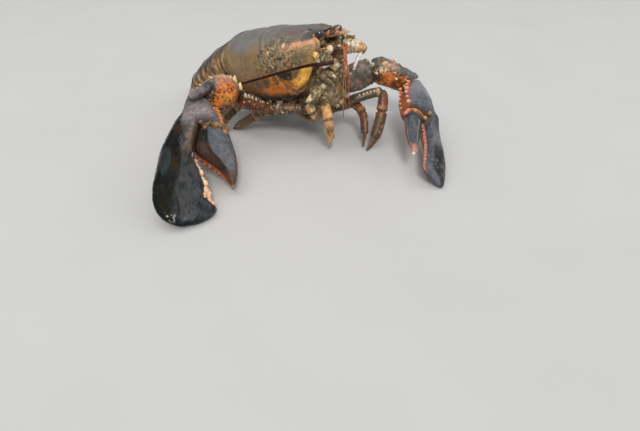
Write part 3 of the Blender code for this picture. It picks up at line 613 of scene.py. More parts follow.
RECIPES: dict[Finish, ShellFinish | Cornea] = {
    Finish.EYE: Cornea(),
    Finish.BACK: ShellFinish(
        "wet_back_shell", rough=0.34, film=0.3, gloss=0.32, mottle=0.34, mottle_size=11,
        flecks=(Fleck(2.6, 0.26, (0.02, 0.03, 0.022), True),
                Fleck(3.4, 0.16, (0.42, 0.2, 0.06), True, 0.85),
                Fleck(2, 0.1, (0.62, 0.48, 0.3), True, 0.8),
                Fleck(1.3, 0.1, (0.03, 0.03, 0.03), False, 0.55))),
    Finish.OLIVE: ShellFinish(
        "wet_olive_shell", rough=0.38, film=0.24, gloss=0.32, mottle=0.48, mottle_size=6,
        flecks=(Fleck(2.4, 0.22, (0.03, 0.022, 0.012), False, 0.7),
                Fleck(1.8, 0.1, (0.55, 0.36, 0.16), True, 0.8))),
    Finish.ORANGE: ShellFinish(
        "wet_orange_shell", rough=0.34, film=0.28, gloss=0.32, mottle=0.3, mottle_size=6,
        flecks=(Fleck(2.6, 0.36, (0.022, 0.014, 0.01), True, 0.95),
                Fleck(1.5, 0.1, (0.75, 0.52, 0.25), True, 0.6))),
    Finish.CLAW: ShellFinish(
        "wet_claw_shell", rough=0.29, film=0.04, gloss=0.09, mottle=0.42, mottle_size=13,
        pit_size=2.4, pit_depth=0.05, swell_size=9, swell_depth=0.22,
        flecks=(Fleck(1.6, 0.08, (0.012, 0.014, 0.016), False, 0.6),
                Fleck(1.7, 0.18, (0.5, 0.18, 0.08), True, 0.8))),
    Finish.FEELER: ShellFinish("feeler", rough=0.46, film=0.06, gloss=0.14, mottle=0.3, mottle_size=3,
                               pit_depth=0, swell_depth=0.05),
    Finish.BELLY: ShellFinish(
        "belly_and_mouth", rough=0.44, film=0.3, mottle=0.5, mottle_size=4.5, scatter=0.05,
        flecks=(Fleck(3, 0.24, (0.075, 0.055, 0.026), False, 0.7),
                Fleck(2.2, 0.12, (0.55, 0.22, 0.06), True, 0.8))),
}


class Wardrobe:
    """Hands out each finish's material, made once, and hangs a piece in the frame."""

    def __init__(self) -> None:
        """Start with nothing made."""
        self.made: dict[Finish, bpy.types.Material] = {}
        self.bristles = Bristles()

    def material(self, finish: Finish) -> bpy.types.Material:
        """The material of a finish."""
        if finish not in self.made:
            self.made[finish] = RECIPES[finish].material()
        return self.made[finish]

    def dress(self, shape: Shape, finish: Finish, *nodes: str) -> bpy.types.Object:
        """Build a piece, give it its finish and let it ride on the root in place of its nodes.

        Args:
            shape: the gathered meshes.
            finish: finish and slot.
            nodes: solids it stands for.

        Returns:
            The piece.
        """
        piece = shape.build()
        piece.data.materials.append(self.material(finish))
        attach(piece, "root")
        if nodes:
            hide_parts(*nodes)
        LOG.info("%s: %d vertices, %s", piece.name, len(piece.data.vertices), ", ".join(nodes))
        return piece


# ---- painting helpers ----
RUST: Colour = (0.3, 0.085, 0.02)
ORANGE: Colour = (0.56, 0.16, 0.022)
YELLOW: Colour = (0.66, 0.33, 0.05)
CREAM: Colour = (0.64, 0.5, 0.31)
TAN: Colour = (0.3, 0.19, 0.09)
DARK: Colour = (0.022, 0.024, 0.02)


def spot(x: Array, y: Array, cx: float, cy: float, rx: float, ry: float) -> Array:
    """Soft-edged ellipse mask: 1 inside, 0 outside."""
    return 1 - ramp(np.hypot((x - cx) / rx, (y - cy) / ry), 0.72, 1.18)


def streak(x: Array, y: Array, line: Sequence[tuple[float, float]], width: float) -> Array:
    """Soft-edged band mask round a broken line."""
    near = np.full(np.shape(x), 1e9)
    for (ax, ay), (bx, by) in zip(line, line[1:]):
        dx, dy = bx - ax, by - ay
        t = np.clip(((x - ax) * dx + (y - ay) * dy) / (dx * dx + dy * dy), 0, 1)
        near = np.minimum(near, np.hypot(x - ax - t * dx, y - ay - t * dy))
    return 1 - ramp(near, 0.6 * width, 1.35 * width)


def crust(points: Array, seed: int, light: float = 1) -> Array:
    """Encrusted look of the mouth's parts: olive and tan, littered with cream, orange and dark; light
    scales it as painted light and shade.
    """
    a, b, c = noise(points, 3, 2, seed), noise(points, 6, 3, seed + 1), noise(points, 10, 2, seed + 2)
    tint = mix((0.125, 0.102, 0.054), (0.36, 0.27, 0.135), ramp(b + 0.4 * a, -0.35, 0.4))
    tint = layered(tint,
        ((0.42, 0.17, 0.07), 0.55 * ramp(c + 0.2 * a, 0.08, 0.36)),
        ((0.72, 0.6, 0.42), 0.65 * ramp(a - 0.7 * c, 0.14, 0.45)),
        ((0.04, 0.038, 0.023), 0.45 * ramp(-a - 0.5 * b, 0.1, 0.42)))
    # light scales the whole look: painted light and shade, a brighter copy for parts meant to read as
    # lit, a darker one for parts in shade.
    return tint * light


# ---- trunk ----
PITCH = math.radians(17.5)
REAR_HEIGHT = 93


def trunk(f: Array, l: Array, u: Array) -> Array:
    """Points from trunk measures: forward of the shell's rear edge, to the left, and up."""
    f, l, u = np.broadcast_arrays(np.asarray(f, float), np.asarray(l, float), np.asarray(u, float))
    c, s = math.cos(PITCH), math.sin(PITCH)
    return np.stack((l, -(f * c - u * s), REAR_HEIGHT + f * s + u * c), -1)


TRUNK_UP = np.array((0, math.sin(PITCH), math.cos(PITCH)))
TRUNK_AHEAD = np.array((0, -math.cos(PITCH), math.sin(PITCH)))


@dataclass
class Carapace:
    """Back shell: two plates that meet at the cervical groove, and the rostrum."""

    wardrobe: Wardrobe
    stations: tuple = ((0, 38.5, 3.5, -50), (18, 45, 7.4, -62.5), (45, 48.5, 7, -73.5),
                       (75, 49, 6, -77), (100, 46.5, 4.6, -73.5), (122, 40.5, 3, -64),
                       (136, 31, -1, -50.5), (146, 22, -3.4, -41))
    columns: int = 400
    rows: int = 104
    lip: tuple = ((3.6, -3), (1.5, -2.6), (0.45, -1.9), (0.05, -1.1), (0.35, -0.35), (1.1, 0))
    eye_side: float = 15.5
    front_place: float = 143
    beak_root: float = 127
    beak_length: float = 46.8
    angles: Array = field(init=False)

    def __post_init__(self) -> None:
        """Spread the columns evenly by arc length round the widest section, from the top."""
        fine = np.linspace(0, 2 * math.pi, 6001)
        ring = np.stack(self.section(62, fine + math.pi / 2), -1)
        run = arc(ring)
        even = np.arange(self.columns) / self.columns * run[-1]
        self.angles = np.interp(even, run, fine) + math.pi / 2

    def section(self, f: Array, angle: Array) -> tuple[Array, Array]:
        """Lateral and up of the shell at a station: superellipses, rounder above than below."""
        half, crown, bottom = np.moveaxis(blend(self.stations, f), -1, 0)
        middle = np.maximum(-30, (crown + bottom) * 0.5 - 1)
        above, rise = superellipse(angle, 2.15)
        below, fall = superellipse(angle, 3.5)
        top = np.sin(angle) >= 0
        return (half * np.where(top, above, below),
                middle + np.where(top, (crown - middle) * rise, (middle - bottom) * fall))

    def front(self, angle: Array) -> Array:
        """Front edge: drawn back low on the sides and notched over the eyes."""
        low, side = np.maximum(0, -np.sin(angle)), np.abs(np.cos(angle))
        notch = np.where(np.sin(angle) > 0, 6.5 * hump(side, 0.5, 0.17), 0)
        brow = 6.5 * hump(np.sin(angle), 0.35, 0.42)
        return self.front_place - 3 * side - 25 * low**1.3 - notch + brow

    def groove(self, angle: Array) -> Array:
        """Cervical groove, running forward down the sides."""
        return 57 + 56 * (0.5 * (1 - np.sin(angle))) ** 0.75

    def rear(self, angle: Array) -> Array:
        """Rear edge, cut forward below."""
        return 9 * np.maximum(0, -np.sin(angle)) ** 2

    def field(self, low: Array, high: Array, sinks: tuple) -> tuple[Array, Array, Array]:
        """Grid of a plate between two edge lines, with a rolled lip at each.

        Args:
            low: forward place of the rear edge at each column.
            high: forward place of the front edge at each column.
            sinks: how far each edge's lip is turned in at each column, 1 for a full lip.

        Returns:
            Points, forward places and lateral-up pairs of the grid.
        """
        lip = np.array(self.lip)
        share = np.linspace(0, 1, self.rows)[1:-1, None]
        start, end = low[None] + lip[:, :1], high[None] - lip[::-1, :1]
        body = start[-1:] + (end[:1] - start[-1:]) * share
        f = np.concatenate((start, body, end))
        flat = np.zeros((len(body), self.columns))
        sink = np.concatenate((lip[:, 1:] * sinks[0], flat, lip[::-1, 1:] * sinks[1]))
        l, u = self.section(f, self.angles)
        base = trunk(f, l, u)
        out = outward(base, trunk(f.mean(), 0, -28))
        edge = np.minimum(f - low, high - f)
        shaped = base + out * (sink + self.relief(f, l, u, self.angles, base, edge))[..., None]
        return shaped, f, np.stack((l, u), -1)

    def rough_zone(self, f: Array, l: Array, u: Array, wobble: Array) -> Array:
        """Mask of the granular area on the flank, round the cervical groove."""
        zone = spot(f + 9 * wobble, u + 8 * wobble, 98, -21, 30, 25)
        return zone**1.5 * ramp(np.abs(l), 18, 30)

    def relief(self, f: Array, l: Array, u: Array, angle: Array, base: Array, edge: Array) -> Array:
        """Height over the plain section.

        Sum of a shallow trough along the groove, a median seam, a raised rear hem, granules on the
        flanks, a ridge behind each eye, a rolled lower margin and the step in to the underside.
        """
        side = np.abs(l)
        wobble = noise(base, 16, 2, 3)
        shallow = 1 - 0.8 * ramp(-u, 12, 34)
        height = -0.7 * shallow * hump(f, self.groove(angle), 4)
        height -= 0.5 * shallow * hump(f, self.groove(angle) + 1, 9)
        height += -0.45 * hump(l, 0, 0.7) * ramp(u, -10, 0) * ramp(f, 4, 12)
        hem = f - self.rear(angle)
        height += 0.7 * hump(hem, 2.6, 2) - 0.9 * hump(hem, 6.4, 1)
        rough = self.rough_zone(f, l, u, wobble)
        height += rough * (0.75 * beads(base, 3, 5, 0.55) + 0.4 * beads(base, 1.7, 9, 0.5)
                           - 0.25) + rough * 0.9 * noise(base, 7, 3, 12)
        high = ramp(u, -34, -4) * (1 - rough)
        height += 0.14 * beads(base, 2.2, 21, 0.35) * high * ramp(f, 60, 95)
        height += 0.35 * wobble + 0.12 * noise(base, 4, 2, 8)
        ridge = hump(side, self.eye_side + 1.5 + (self.front_place - f) * 0.06, 2.6)
        ridge = ridge * ramp(f, 104, 134)
        height += 1.5 * ridge * (u > -22)
        height += 0.9 * hump(f, 118, 11) * hump(side, 33, 8) * ramp(u, -34, -18)
        low = np.maximum(0, -np.sin(angle))
        height += -0.9 * hump(low, 0.7, 0.045) + 0.5 * hump(low, 0.82, 0.05)
        height += -4 * ramp(low, 0.885, 0.955)
        fade = ramp(edge, 0, 3)
        fade = np.maximum(fade, hump(f, self.groove(angle), 5))
        return height * (0.35 + 0.65 * fade)

    def paint(self, f: Array, lu: Array, points: Array, angle: Array) -> tuple[Array, Array]:
        """Colour and fleck mask: slate above, olive flanks, orange and yellow bands low down."""
        l, u = lu[..., 0], lu[..., 1]
        side = np.abs(l)
        wobble, fine = noise(points, 14, 3, 4), noise(points, 4, 3, 5)
        wf, wu = f + 2.6 * fine, u + 2.2 * fine + 3.5 * wobble
        speck = noise(points, 2.4, 3, 32)
        tint = mix((0.19, 0.078, 0.018), (0.25, 0.155, 0.058), ramp(wu, -50, -26))
        tint = layered(tint,
            ((0.158, 0.146, 0.134), ramp(wu, -13, 3)),
            ((0.135, 0.1, 0.078), 0.75 * ramp(wu, -14, -2) * ramp(f, 72, 96)))
        # Painted highlight: a pale blue-grey patch high on the shell towards the rear stands for the
        # sky's sheen on the wet top.
        painted_sheen = hump(f + 5 * wobble, 34, 26) * hump(u + 7 * wobble + 2 * fine, -5, 8.5)
        tint = layered(tint,
            ((0.135, 0.145, 0.155), 0.65 * painted_sheen),
            ((0.1, 0.088, 0.044), 0.6 * ramp(wobble + 0.5 * fine, 0.1, 0.5) * ramp(-wu, 10, 22)))
        warm = ramp(-wu, 42, 54) * (1 - ramp(-wu, 62, 67)) * ramp(f, 22, 55)
        tint = mix(tint, (0.3, 0.098, 0.022), 0.8 * warm * ramp(speck + fine, -0.6, 0.1))
        rough = self.rough_zone(f, l, u, wobble)
        tint = layered(tint,
            (mix((0.225, 0.17, 0.095), (0.1, 0.105, 0.072), ramp(fine, -0.1, 0.35)), 0.8 * rough),
            ((0.4, 0.175, 0.06), 0.6 * rough * ramp(noise(points, 6, 2, 31), 0.24, 0.5)),
            ((0.022, 0.024, 0.018), 0.85 * rough * ramp(speck, 0.16, 0.34)),
            ((0.5, 0.4, 0.25), 0.6 * rough * ramp(-speck, 0.26, 0.44)))
        band = streak(wf, wu, ((131.5, -37), (126, -45), (115, -51.5), (94, -55.5),
                               (64, -58)), 5.2)
        gold = mix((0.62, 0.19, 0.028), (0.92, 0.47, 0.06), ramp(f + 3 * fine, 104, 126))
        tint = mix(tint, gold, band * ramp(f, 52, 80) * ramp(speck, -1.1, -0.5))
        veins = noise(points * (1, 0.45, 0.45), 2.2, 3, 35)
        tint = layered(tint,
            ((0.44, 0.085, 0.016), 0.5 * band * ramp(f, 52, 80) * ramp(veins, 0.05, 0.35)),
            ((0.64, 0.26, 0.04), 0.9 * spot(wf, wu, 90, -42.5, 8, 6.5)),
            ((0.02, 0.026, 0.018), 0.95 * spot(wf, wu, 107, -40.5, 9, 7.5)))
        peach = streak(f + 3.5 * fine, u + 2.4 * fine, ((108, -12.5), (124, -10), (149, -9.5)), 2.9)
        peach = peach * ramp(speck + 0.8 * fine + 0.02 * (f - 118), -0.55, -0.05)
        tint = layered(tint,
            ((0.58, 0.285, 0.145), 0.85 * peach * (side > 8)),
            ((0.045, 0.043, 0.038), 0.85 * spot(wf, wu, 134, -3.5, 9, 4) * (side > 6)))
        marks = spot(f, side, 127, 10.5, 3.6, 2.2) + spot(f, side, 120, 17, 2.4, 1.7)
        tint = mix(tint, DARK, np.clip(marks, 0, 1) * (u > -20))
        cream = spot(f, u, 106, -8.5, 2.4, 1.8) + spot(f, u, 86, -13.5, 2, 1.6)
        tint = mix(tint, (0.72, 0.5, 0.28), np.clip(cream, 0, 1) * (side > 14))
        front = self.front(angle) - f
        tint = layered(tint,
            ((0.1, 0.08, 0.038), 0.8 * spot(wf, wu, 126, -24, 9, 7)),
            ((0.085, 0.07, 0.036), 0.7 * (1 - ramp(front, 0.5, 5)) * ramp(-wu, 44, 50)),
            ((0.045, 0.038, 0.024), ramp(-wu, 61, 67)),
            ((0.04, 0.04, 0.026), 0.6 * ramp(-wu, 30, 44) * ramp(noise(points, 5.5, 3, 33), 0.12, 0.3)),
            ((0.4, 0.23, 0.11), 0.45 * ramp(-wu, 8, 20) * ramp(noise(points, 1.9, 2, 34), 0.22, 0.4)))
        low = np.maximum(0, -np.sin(angle))
        tint = layered(tint,
            ((0.06, 0.046, 0.028), ramp(low, 0.9, 0.95)),
            (DARK, 0.3 * hump(f, self.groove(angle), 0.8) * ramp(u, -20, -2)))
        hem = f - self.rear(angle)
        # The rear hem is dark; the thin pale line just in front of it is a painted highlight along the
        # rim.
        tint = layered(tint,
            ((0.028, 0.034, 0.032), 0.85 * (1 - ramp(hem, 0.4, 5))),
            ((0.55, 0.56, 0.56), 0.5 * hump(hem, 6, 1.3) * ramp(wu, -3, 3) * ramp(speck, -0.2, 0.2)))
        mask = np.clip(rough * (1 - band) + 0.1 * band + 0.22 * warm + 0.25 * peach, 0, 1)
        return tint, mask

    def build(self) -> None:
        """Make the two plates and hang them in the frame."""
        angle = self.angles
        soft = 0.1 * (1 - 0.9 * ramp(-np.sin(angle), 0.15, 0.5))
        grid, f, lu = self.field(self.rear(angle), self.groove(angle) - 0.05, (1 + 0 * angle, soft))
        rear = Shape("shell_rear_plate")
        rear.tube(grid, *self.paint(f, lu, grid, angle))
        self.wardrobe.dress(rear, Finish.BACK, "thorax_shell")

        grid, f, lu = self.field(self.groove(angle) + 0.05, self.front(angle), (soft, 0.8 + 0 * angle))
        tint, mask = self.paint(f, lu, grid, angle)
        front = Shape("shell_head_plate")
        front.tube(*self.with_face(grid, tint, mask))
        self.add_rostrum(front)
        self.add_spines(front)
        self.wardrobe.dress(front, Finish.BACK, "head_shell")

    def with_face(self, grid: Array, tint: Array, mask: Array) -> tuple[Array, Array, Array]:
        """Carry the front lip on inwards as the hollow, lumpy face behind the mouth limbs."""
        hub = trunk(130, 0, -26)
        share = (np.linspace(0, 1, 26)[1:] ** 0.9 * 0.97)[:, None, None]
        inner = grid[-1][None] * (1 - share) + hub * share
        lumps = (1.4 * noise(inner, 7, 3, 41) + 1.2 * beads(inner, 4.5, 43, 0.6))[..., None]
        inner = inner + TRUNK_AHEAD * lumps * (share * (1 - share) * 4) ** 0.5
        # The face behind the mouth limbs gets a darker copy of the crust: painted shade.
        shade = crust(inner, 44, 0.8)
        return (np.concatenate((grid, inner)), np.concatenate((tint, shade)),
                np.concatenate((mask, np.full(inner.shape[:2], 0.4))))

    def add_rostrum(self, shape: Shape) -> None:
        """The beak between the eyes, hollowed along its top, with three pairs of side spines.

        At share s of its length the half width is 10.5 (1 - s)^0.8 + 1.5 and the top falls by
        3.2 s^1.5; a trough 1.5 deep runs along the middle and fades at both ends.
        """
        s, a = sheet(90, 72)
        f = self.beak_root + self.beak_length * s
        tip = np.sqrt(np.clip(1 - ((s - 0.94) / 0.06).clip(0) ** 2, 0, 1))
        half = (10.5 * (1 - s) ** 0.8 + 1.5) * (0.25 + 0.75 * tip)
        crown = blend(self.stations, f)[..., 1]
        high = crown - 0.6 - 3.2 * s**1.5 + 1.2 * ramp(s, 0.8, 1)
        thick = (7.5 * (1 - s) + 2.2) * (0.35 + 0.65 * tip)
        x, u = superellipse(a + math.pi / 2, 2.2)
        l = half * x
        rise = high - thick * 0.5 * (1 - u)
        fade = ramp(s, 0.04, 0.25) * (1 - ramp(s, 0.75, 0.97))
        rise = rise - 1.5 * hump(x, 0, 0.34) * (u > 0) * fade
        rise = rise + 0.7 * hump(np.abs(x), 0.72, 0.2) * (u > 0) * (1 - ramp(s, 0.7, 1))
        grid = trunk(f, l, rise)
        fine = noise(grid, 4, 3, 50)
        tint = mix((0.2, 0.12, 0.07), (0.46, 0.27, 0.13), ramp(s + 0.3 * fine, 0.15, 0.6))
        tint = layered(tint,
            ((0.7, 0.44, 0.33), 0.85 * ramp(s + 0.1 * fine, 0.86, 0.98)),
            ((0.06, 0.006, 0.005), 0.92 * (u > 0) * ramp(s + 0.08 * fine, 0.28, 0.4)
             * (1 - ramp(s + 0.08 * fine, 0.66, 0.8))))
        shape.tube(grid + unit(grid - trunk(f, 0, high - thick * 0.5)) * (0.22 * fine)[..., None],
                   tint, 0.35)
        for at, size in ((138, 3.4), (148, 5.2), (158.5, 4.8)):
            share = (at - self.beak_root) / self.beak_length
            wide = 10.5 * (1 - share) ** 0.8 + 0.8
            top = float(blend(self.stations, at)[1]) - 0.6 - 3.2 * share**1.5 - 1.6
            for sign in (-1, 1):
                shape.knobs(trunk(at, sign * wide, top), (sign * 0.35, -0.55, 0.95), 0.42 * size,
                            1.55 * size, (0.4, 0.17, 0.09), (0.8, 0.52, 0.4), point=0.85, sides=16,
                            rings=9)

    def add_spines(self, shape: Shape) -> None:
        """The spines behind the eyes and at the front corners of the shell."""
        rows = ((137.5, 17.2, 4.6), (126, 17.5, 3), (134, 30, 3.6), (128, 34.5, 2.6))
        for f, side, size in rows:
            angle = math.pi / 2 - np.linspace(0, 1.4, 400)
            l, u = self.section(f, angle)
            k = int(np.argmin(np.abs(l - side)))
            at = np.array([trunk(f, s * l[k], u[k]) for s in (-1, 1)])
            out = unit(np.stack([(s * l[k] * 0.012, -0.85, 0.75) for s in (-1, 1)]))
            shape.knobs(at - out * 0.8, out, 0.55 * size, 1.35 * size, (0.34, 0.19, 0.09),
                        (0.66, 0.44, 0.28), point=0.8, sides=16, rings=8)


@dataclass
class Sternum:
    """Keel of small plates between the roots of the legs."""

    wardrobe: Wardrobe
    stations: tuple = Carapace.stations

    def build(self) -> None:
        """Four pairs of plates along a keel: cross-section swells at each plate and dips between."""
        s, a = sheet(130, 72)
        f = 20 + 92 * s
        top = blend(self.stations, f)[..., 2] - 0.5
        wave = 0.5 - 0.5 * np.cos(s * 2 * math.pi * 5)
        half = (12 - 4 * s) * (0.86 + 0.14 * wave)
        deep = 8.5 * (0.78 + 0.22 * wave)
        x, u = superellipse(a, 2.8)
        notch = 1.6 * hump(x, 0, 0.16) * (u < 0)
        grid = trunk(f, half * x, top - deep * 0.5 * (1 - u) + notch)
        grid = grid + TRUNK_UP * (0.35 * noise(grid, 3.5, 3, 60))[..., None]
        tint = mix((0.33, 0.225, 0.115), (0.13, 0.075, 0.035), (1 - wave) * 0.8)
        shape = Shape("keel_plates")
        shape.tube(grid, tint, 0.3)
        self.wardrobe.dress(shape, Finish.BELLY, "sternum")


# ---- tail ----
@dataclass
class Tail:
    """Six overlapping rings with pointed side flaps, paddles below, and the tail fan."""

    wardrobe: Wardrobe
    joints: tuple = (((0, 1.2, 94), 0, -17.5), ((-4, 19.5, 85.5), 9, -33),
                     ((-11, 38.5, 71.5), 16, -43), ((-19, 56.5, 53.5), 20, -51),
                     ((-26, 70.5, 34), 21, -72), ((-29, 74, 13.5), 20, -115),
                     ((-33, 57.5, 1.6), 18, -160))
    halves: tuple = (37, 39, 39.5, 38.5, 36.5, 33, 29)
    depths: tuple = (29, 29, 28, 27, 24, 19, 14)
    drops: tuple = (5, 13, 14, 13, 4, 1)
    paddles: tuple = (8, 12, 12, 8, 0, 0)
    heading: float = math.radians(18)

    def axes(self, k: int) -> Array:
        """Origin, across, ventral and backward directions at a joint, as rows."""
        origin, swing, pitch = self.joints[k]
        swing, pitch = math.radians(swing), math.radians(pitch)
        back = np.array((-math.sin(swing) * math.cos(pitch), math.cos(swing) * math.cos(pitch),
                         math.sin(pitch)))
        across = np.array((math.cos(swing), math.sin(swing), 0))
        return np.stack((np.array(origin), across, unit(np.cross(back, across)), back))

    def flap(self, k: int, s: Array) -> Array:
        """How far the side flap of a ring hangs below it: a rounded point two thirds back."""
        shape = blend(((0, 0.18), (0.22, 0.62), (0.48, 0.92), (0.66, 1), (0.82, 0.7), (1, 0.1)), s)
        return self.drops[k] * shape[..., 0]

    def ring(self, k: int) -> tuple[Array, Array, Array, Array]:
        """Grid of one ring.

        Over the back an angle a runs from left to right with x = half cos a and depth
        deep (1 - sin(a)^0.85); past 18 degrees the sides run on down into the flaps. The loop
        comes back along the flat underside.

        Returns:
            Points, share along the ring, angle over the back, and 1 on the outer face.
        """
        s = np.linspace(0, 1, 54)
        s = np.concatenate(((0, 0, 0.004), s[1:-1], (0.996, 1, 1)))[:, None]
        sink = np.concatenate(((3, 1.4, 0.4), np.zeros(52), (0.4, 1.4, 3)))[:, None]
        edge = math.radians(18)
        over = np.concatenate((np.linspace(0, edge, 26)[:-1], np.linspace(edge, math.pi - edge, 132),
                               np.linspace(math.pi - edge, math.pi, 26)[1:]))[None]
        half = self.halves[k] * (1 - s) + self.halves[k + 1] * s
        deep = self.depths[k] * (1 - s) + self.depths[k + 1] * s
        drop = self.flap(k, s)
        share = np.clip(np.minimum(over, math.pi - over) / edge, 0, 1)
        wall = np.sign(np.cos(over)) * (0.97 - 0.019 * share)
        x = np.where(share < 1, wall, np.cos(over)) * (half - sink)
        brink = deep * (1 - math.sin(edge) ** 0.85)
        low = deep * (1 - np.sin(np.clip(over, 1e-6, math.pi - 1e-6)) ** 0.85) + sink * np.sin(over)
        low = np.where(share < 1, brink + (deep + drop - brink) * (1 - share), low)
        fall = np.linspace(0, 1, 12)
        inner_x = np.concatenate((-0.905 + 0.03 * fall, np.linspace(-0.86, 0.86, 60),
                                  0.905 - 0.03 * fall[::-1]))[None] * (half - sink)
        hang = np.concatenate((1 - fall, np.zeros(60), 1 - fall[::-1]))[None]
        bars = 0.9 * hump(s, 0.5, 0.16) * (hang == 0)
        inner_low = deep + 0.3 + hang * (drop - 0.9) + bars
        xs = np.concatenate((x, inner_x), 1)
        lows = np.concatenate((low, inner_low), 1)
        first, last = self.axes(k), self.axes(k + 1)
        place = []
        for rows in (first, last):
            place.append(rows[0] + rows[1] * xs[..., None] + rows[2] * lows[..., None])
        back = unit(first[3] + last[3])
        shift = 0.15 * (1 - 2 * s)[..., None]
        grid = place[0] * (1 - s)[..., None] + place[1] * s[..., None] + back * shift
        outer = np.zeros(xs.shape, bool)
        outer[:, : over.shape[1]] = True
        angle = np.concatenate((over, np.full((1, inner_x.shape[1]), -1)), 1) + 0 * xs
        return grid, s + 0 * xs, angle, outer

    def relief(self, s: Array, angle: Array, base: Array, k: int) -> Array:
        """Height over a ring: sunk smooth facet in front, a groove, a full body and a rear hem."""
        wall = ramp(np.minimum(angle, math.pi - angle), 0.05, 0.5)
        height = -1.25 * (1 - ramp(s, 0.1, 0.2)) * (0.3 + 0.7 * wall)
        height = height - 0.55 * hump(s, 0.24, 0.03) * wall + 0.45 * hump(s, 0.93, 0.05)
        height = height - 0.5 * hump(s, 0.84, 0.025) * wall
        height = height + (1 - wall) * (0.9 * hump(s, 0.6, 0.22) - 0.2)
        height = height + 0.3 * noise(base, 9, 3, 70 + k) + 0.12 * noise(base, 2.6, 2, 80 + k)
        return height + 0.25 * beads(base, 2.4, 90 + k, 0.4) * (1 - wall)

    def paint(self, s: Array, angle: Array, points: Array, outer: Array,
              k: int) -> tuple[Array, Array]:
        """Colour: olive-brown back, tawny sides, a dark hem and cream and orange streaks."""
        fine, broad = noise(points, 4.5, 3, 100 + k), noise(points, 13, 3, 107)
        side = 1 - ramp(np.minimum(angle, math.pi - angle) + 0.12 * broad, 0.25, 0.95)
        tint = mix((0.046, 0.04, 0.024), (0.105, 0.062, 0.027), ramp(fine + broad, -0.3, 0.5))
        tint = layered(tint,
            ((0.235, 0.112, 0.036), 0.75 * side),
            ((0.36, 0.14, 0.032), 0.7 * side * ramp(broad, 0, 0.4)))
        around = np.stack(np.broadcast_arrays(26 * s, 9 * angle, 0 * broad), -1)
        streaks = noise(around, 3.2, 3, 120 + k)
        tint = layered(tint,
            ((0.56, 0.42, 0.22), 0.85 * ramp(streaks, 0.16, 0.36) * (0.35 + 0.65 * side)),
            (DARK, 0.85 * ramp(-streaks, 0.14, 0.36)),
            ((0.02, 0.026, 0.024), 0.9 * ramp(s + 0.05 * broad, 0.8, 0.9) * (1 - 0.3 * side)),
            ((0.035, 0.036, 0.028), 0.7 * (1 - ramp(s, 0.08, 0.2))),
            ((0.42, 0.26, 0.1), 0.5 * hump(s, 0.76, 0.06) * (0.4 + side)))
        under = mix((0.4, 0.25, 0.12), (0.21, 0.11, 0.05), ramp(fine, -0.2, 0.4))
        return np.where(outer[..., None], tint, under), np.where(outer, 0.25 + 0.5 * side, 0.2)

    def build(self) -> None:
        """Make the six rings and the fan."""
        for k in range(6):
            base, s, angle, outer = self.ring(k)
            out = outward(base, base.mean((0, 1)))
            shape = Shape(f"tail_ring_{k + 1}")
            lift = np.where(outer, self.relief(s, angle, base, k), 0.2 * noise(base, 4, 3, 66))
            edge = ramp(s, 0, 0.03) * ramp(1 - s, 0, 0.03)
            grid = above_floor(base + out * (lift * (0.5 + 0.5 * edge))[..., None], 0.05)
            shape.tube(grid, *self.paint(s, angle, grid, outer, k))
            if self.paddles[k]:
                for sign in (-1, 1):
                    self.add_paddle(shape, k, sign)
            self.wardrobe.dress(shape, Finish.OLIVE, f"abdomen_{k + 1}")
        self.build_fan()

    def add_paddle(self, shape: Shape, k: int, sign: float) -> None:
        """A swimmeret: a short stalk with two ribbed leaves, fringed with bristles."""
        origin, across, ventral, back = 0.5 * (self.axes(k) + self.axes(k + 1))
        across, ventral, back = unit(across), unit(ventral), unit(back)
        deep = 0.5 * (self.depths[k] + self.depths[k + 1])
        root = origin + across * (sign * 18)
        length = self.paddles[k]
        stalk = np.array([root + ventral * (deep + d) for d in np.linspace(-3, length * 0.35, 8)])
        shape.tube(sweep(stalk, np.tile((1.9, 1.4), (8, 1)), back, 14), (0.3, 0.17, 0.08), 0.2)
        s, a = sheet(26, 28)
        for lean, shift in ((-0.45, -1.2), (0.45, 1.2)):
            line = (root + ventral * (deep + length * 0.22) + ventral * (s * length * 0.78)[..., None]
                    + across * (shift + lean * s * length * 0.55)[..., None])
            wide = 2.9 * np.sin(np.clip(0.12 + s * 2.75, 0, math.pi)) ** 0.6 + 0.15
            thin = 0.55 + 0.12 * np.cos(a * 12)
            grid = (line + across * (wide * np.cos(a))[..., None]
                    + back * (thin * np.sin(a) * (1 - 0.5 * s))[..., None])
            shape.tube(grid, mix((0.27, 0.13, 0.06), (0.42, 0.25, 0.13), s), 0.1)
            rim = grid[6:, [0, 14]].reshape(-1, 3)
            out = (across * np.tile((1, -1), len(rim) // 2)[:, None] + ventral * 1.1)
            shape.knobs(rim, out, 0.14, 1.9, (0.3, 0.19, 0.1), point=1, sides=3, rings=2)

    def build_fan(self) -> None:
        """Telson and four side blades, laid like shingles on the floor."""
        along = np.array((math.sin(self.heading), -math.cos(self.heading), 0))
        side = np.array((math.cos(self.heading), math.sin(self.heading), 0))
        ground = np.array(self.joints[6][0]) * (1, 1, 0)
        self.blade("tail_middle_blade", "telson", ground + along * 1.6, self.heading, 54,
                   (15, 17.5, 16, 12.5), 3, (0.8, 0.5), 0, 2)
        halves = tuple(10 * f for f in (0.42, 0.8, 1, 0.95, 0.62))
        rows = (("inner", 20, 2.8, 4, 9, 4.4, 1), ("outer", 28.5, 4.2, 7, 20, 4.6, 3))
        for (sign, tag), row in product(((-1, "r"), (1, "l")), rows):
            label, aside, ahead, height, spread, edge, ridges = row
            turn = self.heading + sign * math.radians(spread)
            begin = ground + side * (sign * aside) + along * ahead
            self.blade(f"tail_{label}_blade_{tag}", f"uropod_{label}_{tag}", begin, turn, 52, halves,
                       2.2, (height, 0.55), sign * edge, ridges)

